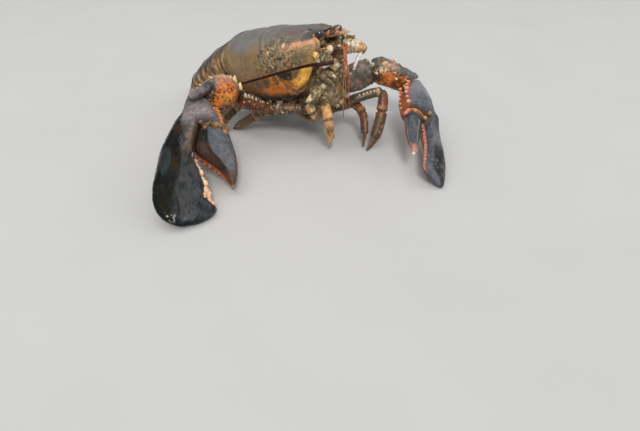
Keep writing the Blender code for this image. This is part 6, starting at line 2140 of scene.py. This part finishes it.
# ---- head ----
@dataclass
class Head:
    """Eyes on their stalks, roots of the feelers with their scales, and the mouth with its limbs."""

    wardrobe: Wardrobe
    eye_centre: tuple = (143.6, 15.9, -3.6)
    left_eye: tuple = (144.6, 14.8, -6)
    eye_radius: float = 5.1

    def build(self) -> None:
        """Make both sides, then the mouth."""
        for sign, tag in ((-1, "r"), (1, "l")):
            self.build_eye(sign, tag)
            self.build_peduncle(sign, tag)
            self.build_scale(sign, tag)
            self.build_antennule_root(sign, tag)
        self.build_maxillipeds()
        self.build_mouth()

    def build_eye(self, sign: float, tag: str) -> None:
        """Cornea and the stalk's cup round its back.

        The cornea is a ball drawn out by 6% sideways and pressed to 84% of its height; the cup is a
        thin bowl that covers everything more than 96 degrees off the gaze and ends in a soft rim.
        """
        forward, aside, up = self.eye_centre if sign < 0 else self.left_eye
        centre = trunk(forward, sign * aside, up)
        gaze = unit(np.array((sign * 0.8, -0.48, 0.36)))
        side = unit(np.cross(gaze, (0, 0, 1)))
        high = np.cross(side, gaze)
        polar = np.linspace(0.02, math.pi - 0.02, 72)[:, None]
        a = np.linspace(0, 2 * math.pi, 96, endpoint=False)[None]
        r = self.eye_radius * 0.985

        def bowl(angle: Array, radius: Array | float, depth: float, height: float) -> Array:
            """Grid round the gaze at angles off it, pressed along it and upwards."""
            return (centre + gaze * (np.cos(angle) * depth * radius)[..., None]
                    + side * (np.sin(angle) * np.cos(a) * 1.06 * radius)[..., None]
                    + high * (np.sin(angle) * np.sin(a) * height * radius)[..., None])

        eye = Shape(f"eye_ball_{tag}")
        eye.tube(bowl(polar, r, 1.04, 0.84), (0.01, 0.01, 0.012))
        self.wardrobe.dress(eye, Finish.EYE, f"eye_{tag}")

        t = np.linspace(0, 1, 40)[:, None]
        outer = math.radians(96) + (math.pi - math.radians(96)) * (1 - t)
        cup_r = r + 0.5 - 0.42 * ramp(t, 0.9, 1) + 0.15 * hump(t, 0.86, 0.07)
        grid = bowl(outer, cup_r, 1, 0.86)
        fine = noise(grid, 2.5, 3, 400)
        grid = grid + 0.12 * unit(grid - centre) * fine[..., None]
        stalk = Shape(f"eye_stalk_{tag}")
        tint = mix((0.06, 0.036, 0.02), (0.17, 0.095, 0.05), ramp(fine, -0.3, 0.4))
        stalk.tube(grid, tint, 0.3)
        root = trunk(142.8, sign * 12.2, -17)
        limb = Limb([root, 0.5 * (root + centre - gaze * 3), centre - gaze * 3.4],
                    [(3.4, 3.4), (3.3, 3.3), (3.8, 3.8)], seed=401, sides=36, spacing=0.5,
                    joints=(0.9,), pinch=0.15)
        limb.skin(stalk, mix((0.13, 0.085, 0.045), TAN, ramp(noise(limb.base, 3, 2, 402), -0.3, 0.3)),
                  rough=0.3)
        self.wardrobe.dress(stalk, Finish.OLIVE, f"eyestalk_{tag}")

    def build_peduncle(self, sign: float, tag: str) -> None:
        """Root of the long feeler: three stout segments with spined rims."""
        places = ((144.3, 21, -28), (150, 24, -27.6), (160.5, 26.5, -29.8), (168, 28, -35.8))
        sizes = [(8.4, 8.4), (8, 8), (6.6, 6.8), (4.2, 4.4)]
        if tag == "r":
            places, sizes = places[:3], [(7.6, 7.6), (7, 7), (4.4, 4.4)]
        limb = Limb([trunk(f, sign * l, u) for f, l, u in places], sizes, joints=(0.72, 1.35, 1.75),
                    seed=410, spacing=0.4, sides=72, pinch=0.06, flare=0.04)
        share = limb.share
        fine = noise(limb.base, 3, 3, 411)
        # The right root gets a darker copy of the crust: painted shade.
        tint = crust(limb.base, 412, 0.8 if tag == "r" else 1)
        if tag == "l":
            pale = mix((0.52, 0.4, 0.25), (0.84, 0.76, 0.6), ramp(fine, -0.2, 0.25))
            tint = layered(tint,
                (pale, 0.85 * (1 - ramp(share + 0.12 * fine, 0.62, 0.86))),
                ((0.5, 0.19, 0.05), 0.75 * hump(share + 0.06 * fine, 0.8, 0.12)))
        shape = Shape(f"feeler_root_{tag}")
        limb.skin(shape, tint, rough=0.7, mask=0.4, warts=0.6, ring=0.35 if tag == "l" else 0.85)
        if tag == "r":
            dome = trunk(144.5, -27.4, -23.8)
            shape.knobs(dome, (-0.75, -0.55, 0.25), 4.5, 2.6, (0.8, 0.4, 0.06), (0.9, 0.55, 0.12),
                        point=0, sides=28, rings=10)
        for joint in limb.breaks:
            turn = np.linspace(0, 1, 7)[:-1]
            shape.studs(limb.at(max(joint - 1.6, 0), turn), 0.5, 0.9, 2, (0.42, 0.25, 0.12), CREAM,
                        lean=0.8 * limb.tangent[len(limb.run) // 2], point=0.75, sides=10, rings=5)
        at = trunk(146.5, sign * 30, -30)
        shape.knobs(at, TRUNK_AHEAD + (sign * 0.5, 0, 0), 2.6, 6, (0.4, 0.24, 0.11), CREAM, point=0.8,
                    sides=16, rings=8)
        palp = [trunk(165, sign * 25.5, -35.5), trunk(162.5, sign * 18.5, -41),
                trunk(157, sign * 14.5, -53)]
        if tag == "r":
            palp = [trunk(150, -27, -35), trunk(147.5, -20, -38), trunk(147, -12, -37)]
        leaf = Limb(palp, [(2.1, 2.9), (2, 2.6), (1.4, 1.6)], seed=413, sides=32, spacing=0.5,
                    hint=(sign * 1, 0.1, 0.6))
        pale = mix((0.58, 0.5, 0.43), (0.9, 0.86, 0.8),
                   ramp(noise(leaf.base, 2.6, 2, 414), -0.3, 0.1))
        leaf.skin(shape, pale, rough=0.3, mask=0.1)
        self.wardrobe.dress(shape, Finish.BELLY, f"antenna_base_{tag}")

    def build_scale(self, sign: float, tag: str) -> None:
        """Leaf-like scale over the feeler's root, with a spine at its outer corner."""
        s, a = sheet(50, 64)
        x, u = superellipse(a, 2.3)
        wide = (3 - 1.2 * s) * np.sqrt(1 - (0.97 * s) ** 5)
        thin = 1.7 * (1 - 0.62 * s)
        f, l = 145 + 12 * s, 27.5 - 0.5 * s
        rise = -18 - 1.5 * s
        grid = trunk(f, sign * (l + thin * u - 0.4 * hump(x, 0.2, 0.3) * (u > 0)),
                     rise + wide * x)
        fine = noise(grid, 2.6, 3, 420)
        tint = mix((0.135, 0.085, 0.04), (0.38, 0.225, 0.105), ramp(fine, -0.3, 0.4))
        tint = mix(tint, (0.3, 0.09, 0.035), 0.5 * ramp(x, 0.5, 0.9))
        shape = Shape(f"feeler_scale_{tag}")
        shape.tube(grid, tint, 0.3)
        shape.knobs(trunk(155.5, sign * 27.2, -17.6), TRUNK_AHEAD + (sign * 0.15, 0, 0.15), 1.1, 3.4,
                    (0.4, 0.22, 0.1), CREAM, point=0.85, sides=12, rings=6)
        self.wardrobe.dress(shape, Finish.OLIVE, f"antenna_scale_{tag}")
        rim = grid[12:, 32]
        self.wardrobe.bristles.add((rim, TRUNK_AHEAD * 0.8), (-sign * 0.3, 0, -0.8), 3.2, 0.12,
                                   (0.4, 0.28, 0.15))

    def build_antennule_root(self, sign: float, tag: str) -> None:
        """Three short segments, the first one swollen and cream."""
        knots = [trunk(139, sign * 5, -19.5), trunk(150, sign * 4.4, -20.4),
                 trunk(161, sign * 3.6, -21.5)]
        limb = Limb(knots, [(3.2, 3.2), (3, 3), (2.5, 2.5)], joints=(1.1, 1.55), seed=430, sides=40,
                    spacing=0.4)
        fine = noise(limb.base, 3, 3, 431)
        tint = mix(crust(limb.base, 434), (0.3, 0.12, 0.05), 0.5 * ramp(fine, -0.1, 0.4))
        shape = Shape(f"short_feeler_root_{tag}")
        limb.skin(shape, tint, rough=0.3, mask=0.3)
        centre = trunk(148.5, sign * 9, -22.5)
        bulb = Limb([centre - TRUNK_AHEAD * 5, centre, centre + TRUNK_AHEAD * 4],
                    [(3, 3), (4.4, 4.6), (2.6, 2.8)], seed=432, sides=48, spacing=0.4,
                    blunt=(2.5, 2.5))
        pale = mix((0.66, 0.48, 0.29), (0.9, 0.76, 0.54),
                   ramp(noise(bulb.base, 3.5, 2, 433), -0.4, 0.3))
        bulb.skin(shape, pale, rough=0.35, mask=0.15)
        at, out = limb.at(limb.breaks[0] - 1, np.linspace(0.05, 0.85, 5))
        shape.knobs(at - out * 0.3, out + TRUNK_AHEAD, 0.6, 1.5, CREAM, point=0.8, sides=8, rings=4)
        self.wardrobe.dress(shape, Finish.BELLY, f"antennule_base_{tag}")

    def build_maxillipeds(self) -> None:
        """The leg-like last mouth limbs: toothed inner edge and a brush of bristles."""
        paths = {"r": ((-7.5, -136, 66), (-22, -142, 67.5), (-38, -146, 60),
                       (-38.5, -151, 50), (-31, -150, 40)),
                 "l": ((7.5, -134, 60), (13, -141.5, 57), (15.5, -150.5, 57.5),
                       (8.5, -157, 51.5), (0, -154, 44.5))}
        for tag, knots in paths.items():
            limb = Limb(knots, [(0.85 * r, r) for r in (5.4, 6.2, 5.8, 4.4, 2.2)],
                        joints=(0.9, 2.05, 2.9, 3.5), seed=440, sides=52, spacing=0.45, pinch=0.26,
                        flare=0.12)
            fine, broad = noise(limb.base, 3, 3, 441), noise(limb.base, 7, 2, 442)
            # The crust is brightened 1.25 times: painted light.
            tint = mix(crust(limb.base, 443, 1.25), (0.62, 0.42, 0.22),
                       0.35 * ramp(broad + fine, -0.1, 0.4))
            shape = Shape(f"mouth_limb_{tag}")
            limb.skin(shape, tint, rough=0.4, mask=0.5, warts=0.3)
            inward = (1, 0.2, -0.4) if tag == "r" else (-1, 0.2, -0.4)
            turn = limb.facing(inward, 0.4 * limb.length)
            runs = np.linspace(0.12, 0.62, 18) * limb.length
            shape.studs(limb.at(runs, turn), 0.4, 0.8, 1.7, CREAM, point=0.5, sides=10, rings=4)
            rng = np.random.default_rng(44)
            self.wardrobe.bristles.add(limb.strewn(rng, 160, 0.3, 0.98, turn, 0.09),
                                       0.6 * limb.tangent[-1], 4.2, 0.12, (0.38, 0.27, 0.14))
            shape.studs(limb.strewn(rng, 30, 0.05, 0.95), 0.3, rng.uniform(0.5, 1.1, 30), 1,
                        (0.34, 0.24, 0.13), CREAM, point=0.4, sides=8, rings=4)
            self.wardrobe.dress(shape, Finish.OLIVE, f"maxilliped_{tag}")

    def build_mouth(self) -> None:
        """Mouth: a lumpy block, two hard jaws and pairs of small overlapping limbs with bristles."""
        s, a = sheet(60, 120)
        x, u = superellipse(a, 2.4)
        half, tall = 15 - 5 * s, 10.5 - 4 * s
        close = np.sqrt(1 - (0.92 * np.clip((s - 0.7) / 0.3, 0, 1)) ** 2)
        grid = trunk(131.5 + 13 * s - 3.5 * (1 - u * close), half * x * close, -45 + tall * u * close)
        lumps = 1.1 * noise(grid, 5, 3, 450) + 1 * beads(grid, 4.2, 451, 0.6)
        grid = grid + unit(grid - grid.mean((0, 1))) * lumps[..., None]
        shape = Shape("mouth_parts")
        # The mouth block's crust is brightened 1.75 times: painted light.
        shape.tube(grid, crust(grid, 452, 1.75), 0.4)
        breast = trunk(97 + 46 * s, (16 - 3 * s) * x * close,
                       -66.5 + 1.5 * s + (20.5 - 1.5 * s) * u * close)
        lumps = 1.6 * noise(breast, 7, 3, 455) + 1.6 * beads(breast, 6, 456, 0.7)
        breast = breast + unit(breast - breast.mean((0, 1))) * lumps[..., None]
        # The breast's crust is dimmed to 0.75: painted shade under the body.
        shape.tube(breast, crust(breast, 457, 0.75), 0.4)
        for sign in (-1, 1):
            jaw = trunk(141.5, sign * 4.6, -44)
            shape.knobs(jaw, TRUNK_AHEAD + (-sign * 0.25, 0, 0), 4.6, 4.6, (0.3, 0.19, 0.1),
                        (0.66, 0.56, 0.4), point=0.05, sides=28, rings=12)
            rows = (((137, 13.5, -36), (146.5, 12, -39), (148.5, 5.5, -48), (147, 2.5, -57)),
                    ((136, 14.5, -44), (145, 14, -47), (148, 8.5, -55), (146, 5.5, -62)),
                    ((134, 15.5, -51), (140, 16, -54), (144.5, 12, -60), (142, 8, -66)))
            for k, row in enumerate(rows):
                knots = [trunk(f, sign * l, v) for f, l, v in row]
                size = 2.9 - 0.2 * k
                radii = [(w * size, h * size) for w, h in ((0.75, 1), (0.9, 1.1), (0.7, 0.9))]
                limb = Limb(knots, radii + [(0.9, 1.1)], joints=(1, 2, 2.6), seed=460 + k, sides=36,
                            spacing=0.5)
                # The small limbs' crust is brightened 1.65 times: painted light.
                limb.skin(shape, crust(limb.base, 461 + 3 * k, 1.65), rough=0.6, mask=0.5, warts=0.6)
                rng = np.random.default_rng(46 + k)
                turn = limb.facing((-sign, -0.3, -0.3), 0.6 * limb.length)
                self.wardrobe.bristles.add(limb.strewn(rng, 50, 0.35, 0.98, turn, 0.1),
                                           0.8 * limb.tangent[-1], 3.4, 0.11, (0.42, 0.31, 0.17))
        for place, size, tone in (((139.5, -13.5, -38.5), 4.2, (0.66, 0.54, 0.36)),
                                  ((136.5, -13, -50.5), 4.6, (0.5, 0.36, 0.3)),
                                  ((133, -14, -62), 3.6, (0.58, 0.46, 0.3))):
            shape.knobs(trunk(*place), (-0.75, -0.55, 0.2), size, 0.9 * size, tone,
                        tuple(min(1, 1.2 * c) for c in tone), point=0.05, sides=28, rings=10)
        shape.knobs((-13.1, -135, 44), (-0.7, -0.6, 0.2), 4.2, 3.6, (0.1, 0.068, 0.042),
                    (0.17, 0.12, 0.075), point=0.05, sides=28, rings=10)
        rng = np.random.default_rng(49)
        for source, count, length in ((grid, 500, 7), (breast, 900, 9)):
            i = rng.integers(20, source.shape[0] - 4, count)
            j = rng.integers(0, source.shape[1], count)
            at = source[i, j]
            out = unit(at - source.mean((0, 1)))
            seen = out @ unit(VIEW_SIDE) > 0.15
            lean = 0.45 * out[seen] + (0, -0.1, -0.9) + rng.normal(0, 0.16, (seen.sum(), 3))
            self.wardrobe.bristles.add((at[seen], unit(lean)), 0, length, 0.24, (0.4, 0.3, 0.16))
        rng = np.random.default_rng(48)
        for source, count in ((grid, 40), (breast, 60)):
            i = rng.integers(8, source.shape[0] - 6, count)
            j = rng.integers(0, source.shape[1], count)
            at = source[i, j]
            out = unit(at - source.mean((0, 1)))
            size = rng.uniform(1, 3, count)
            tone = mix((0.17, 0.125, 0.062), (0.66, 0.5, 0.31), rng.uniform(0, 1, count) ** 1.5)
            shape.studs((at, out), 0.4, size, 1.1 * size, tone, 0.8 * tone + (0.12, 0.09, 0.06),
                        lean=rng.normal(0, 0.4, (count, 3)), point=0.2, sides=12, rings=6)
        self.wardrobe.dress(shape, Finish.BELLY, "mouth")


@dataclass
class Feelers:
    """The two long feelers and the four short ones, ringed all along."""

    wardrobe: Wardrobe
    right: tuple = ((-28, -168.8, 112.8), (-36.5, -162, 111), (-42, -146.5, 107),
                    (-48.5, -124, 97.5), (-56.5, -98, 85.5), (-67, -72.5, 74),
                    (-79, -48, 62), (-92, -25, 42), (-112, -25, 22),
                    (-135, -48, 9), (-158, -78, 4.5), (-180, -108, 3))
    left: tuple = ((28, -168.8, 112.8), (36.5, -161, 110), (54, -148, 102),
                   (63, -110, 92), (66, -60, 78), (66, 0, 55), (58, 60, 28),
                   (47, 104, 10), (42, 132, 4.5))
    short: tuple = (("r", "outer", -5, 4, 88), ("r", "inner", -2.3, 7.5, 74),
                    ("l", "inner", 2.3, 10.5, 66), ("l", "outer", 5, 14, 79))

    def build(self) -> None:
        """Make the six of them."""
        for tag, knots in (("r", self.right), ("l", self.left)):
            self.whip(f"long_feeler_{tag}", f"antenna_{tag}", knots, (2.3, 0.6), 1.7, 14,
                      (0.017, 0.005, 0.004), (0.044, 0.012, 0.009))
        for tag, label, top, foot, drop in self.short:
            start = trunk(161.7, top, -21.6) + (0, 0, -0.4)
            knots = [start, start + (-1.2 - top * 0.3, -3, -1.5),
                     start + (-1.6 - top * 0.62, -4, -12),
                     start + ((foot - top) * 0.55 - 2, -4.5, -drop * 0.5),
                     start + (foot - top - 0.5, -3.5, -drop)]
            self.whip(f"short_feeler_{label}_{tag}", f"antennule_{label}_{tag}", knots, (1.35, 0.45),
                      1.1, 10, (0.42, 0.1, 0.045), (0.6, 0.23, 0.11))

    def whip(self, name: str, node: str, knots: Sequence, ends: tuple, ring: float, sides: int,
             dark: Colour, light: Colour) -> None:
        """A tapering whip of short rings.

        The radius falls from the first end to the last by the 0.8th power of the share of knots and
        swells by 7% towards the outer end of each ring.
        """
        dense = resample([tuple(k) for k in knots], 1500)
        knot = np.linspace(0, 1, 1500)
        run = arc(dense)
        rows = int(run[-1] / (ring / 4))
        at = np.linspace(0, run[-1], rows)
        path = np.stack([np.interp(at, run, c) for c in dense.T], -1)
        share = np.interp(at, run, knot)
        radius = ends[0] + (ends[1] - ends[0]) * share**0.8
        saw = (at / ring) % 1
        radius = radius * (0.95 + 0.07 * saw - 0.06 * hump(saw, 0, 0.12))
        grid = sweep(path, np.stack((radius, radius), -1), np.array((0.2, 0.3, 1)), sides)
        grid = above_floor(grid, 0.05)
        fine = noise(grid, 7, 3, 480)
        tint = mix(dark, light, ramp(fine, -0.3, 0.4))
        tint = mix(tint, (0.03, 0.012, 0.008), 0.45 * hump(saw, 0.03, 0.12)[:, None])
        shape = Shape(name)
        shape.tube(grid, tint)
        self.wardrobe.dress(shape, Finish.FEELER, node)


# ---- studio ----
@dataclass
class Studio:
    """Pale floor, soft overcast light and the camera."""

    camera_place: tuple = (-0.39635, -0.41385, 0.325)
    camera_turn: tuple = (52, 0, -48)
    lens: float = 29.25

    def build(self) -> None:
        """Floor, world, lights and camera."""
        self.floor()
        self.lights()
        self.veiled_sun()
        self.camera()

    def floor(self) -> None:
        """A flat pale floor, just below the animal."""
        bpy.ops.mesh.primitive_plane_add(size=6, location=(0, 0, -0.0002))
        floor = bpy.context.object
        floor.name = "studio_floor"
        paint = Paint("pale_floor")
        tone = paint.blend((0.5, 0.495, 0.485), (0.55, 0.545, 0.535), paint.grain(140, 4))
        floor.data.materials.append(paint.finished({"Base Color": tone, "Roughness": 0.75}))

    def lights(self) -> None:
        """A sky that brightens from the horizon up, and large soft panels, as on a clouded day."""
        world = bpy.data.worlds.new("clouded_sky")
        world.use_nodes = True
        tree = world.node_tree
        split = tree.nodes.new("ShaderNodeSeparateXYZ")
        tree.links.new(tree.nodes.new("ShaderNodeTexCoord").outputs["Generated"], split.inputs[0])
        rise = tree.nodes.new("ShaderNodeMapRange")
        for key, value in (("From Min", -0.1), ("From Max", 0.9), ("To Min", 0.13), ("To Max", 0.74)):
            rise.inputs[key].default_value = value
        tree.links.new(split.outputs["Z"], rise.inputs["Value"])
        tree.links.new(rise.outputs["Result"], tree.nodes["Background"].inputs["Strength"])
        tree.nodes["Background"].inputs["Color"].default_value = (0.95, 0.97, 1, 1)
        bpy.context.scene.world = world
        bpy.context.scene.view_settings.view_transform = "Standard"
        panels = (("sky_panel", (-0.25, 0.35, 1.25), 1.5, 5, (1, 0.99, 0.97)),
                  ("front_panel", (-1.1, -0.9, 0.9), 0.6, 2.2, (0.95, 0.97, 1)),
                  ("side_panel", (0.9, -0.7, 0.9), 0.6, 2, (1, 0.98, 0.95)))
        for name, place, size, power, colour in panels:
            data = bpy.data.lights.new(name, "AREA")
            data.shape, data.size, data.energy, data.color = "DISK", size, power, colour
            light = bpy.data.objects.new(name, data)
            light.location = place
            light.rotation_euler = (-Vector(place)).to_track_quat("-Z", "Y").to_euler()
            bpy.context.scene.collection.objects.link(light)

    def veiled_sun(self) -> None:
        """A weak sun behind thin cloud, high on the animal's right."""
        data = bpy.data.lights.new("veiled_sun", "SUN")
        data.energy, data.angle, data.color = 1.6, math.radians(16), (1, 0.98, 0.94)
        light = bpy.data.objects.new("veiled_sun", data)
        light.rotation_euler = Vector((0.52, 0.5, -0.8)).to_track_quat("-Z", "Y").to_euler()
        bpy.context.scene.collection.objects.link(light)

    def camera(self) -> None:
        """The camera, down on the animal's right front quarter."""
        data = bpy.data.cameras.new("view")
        data.lens, data.sensor_width, data.shift_x = self.lens, 36, 0.05
        camera = bpy.data.objects.new("view", data)
        camera.location = self.camera_place
        camera.rotation_euler = tuple(math.radians(d) for d in self.camera_turn)
        bpy.context.scene.collection.objects.link(camera)
        bpy.context.scene.camera = camera


def main() -> None:
    """Build every part of the animal in order, then the studio."""
    logging.basicConfig(level=logging.INFO, format="%(name)s %(message)s")
    wardrobe = Wardrobe()
    for part in (Carapace(wardrobe), Sternum(wardrobe), Tail(wardrobe), Crusher(wardrobe),
                 Cutter(wardrobe), Arms(wardrobe), WalkingLegs(wardrobe), Head(wardrobe),
                 Feelers(wardrobe)):
        part.build()
    wardrobe.bristles.build(wardrobe)
    Studio().build()


if __name__ == "__main__":
    main()
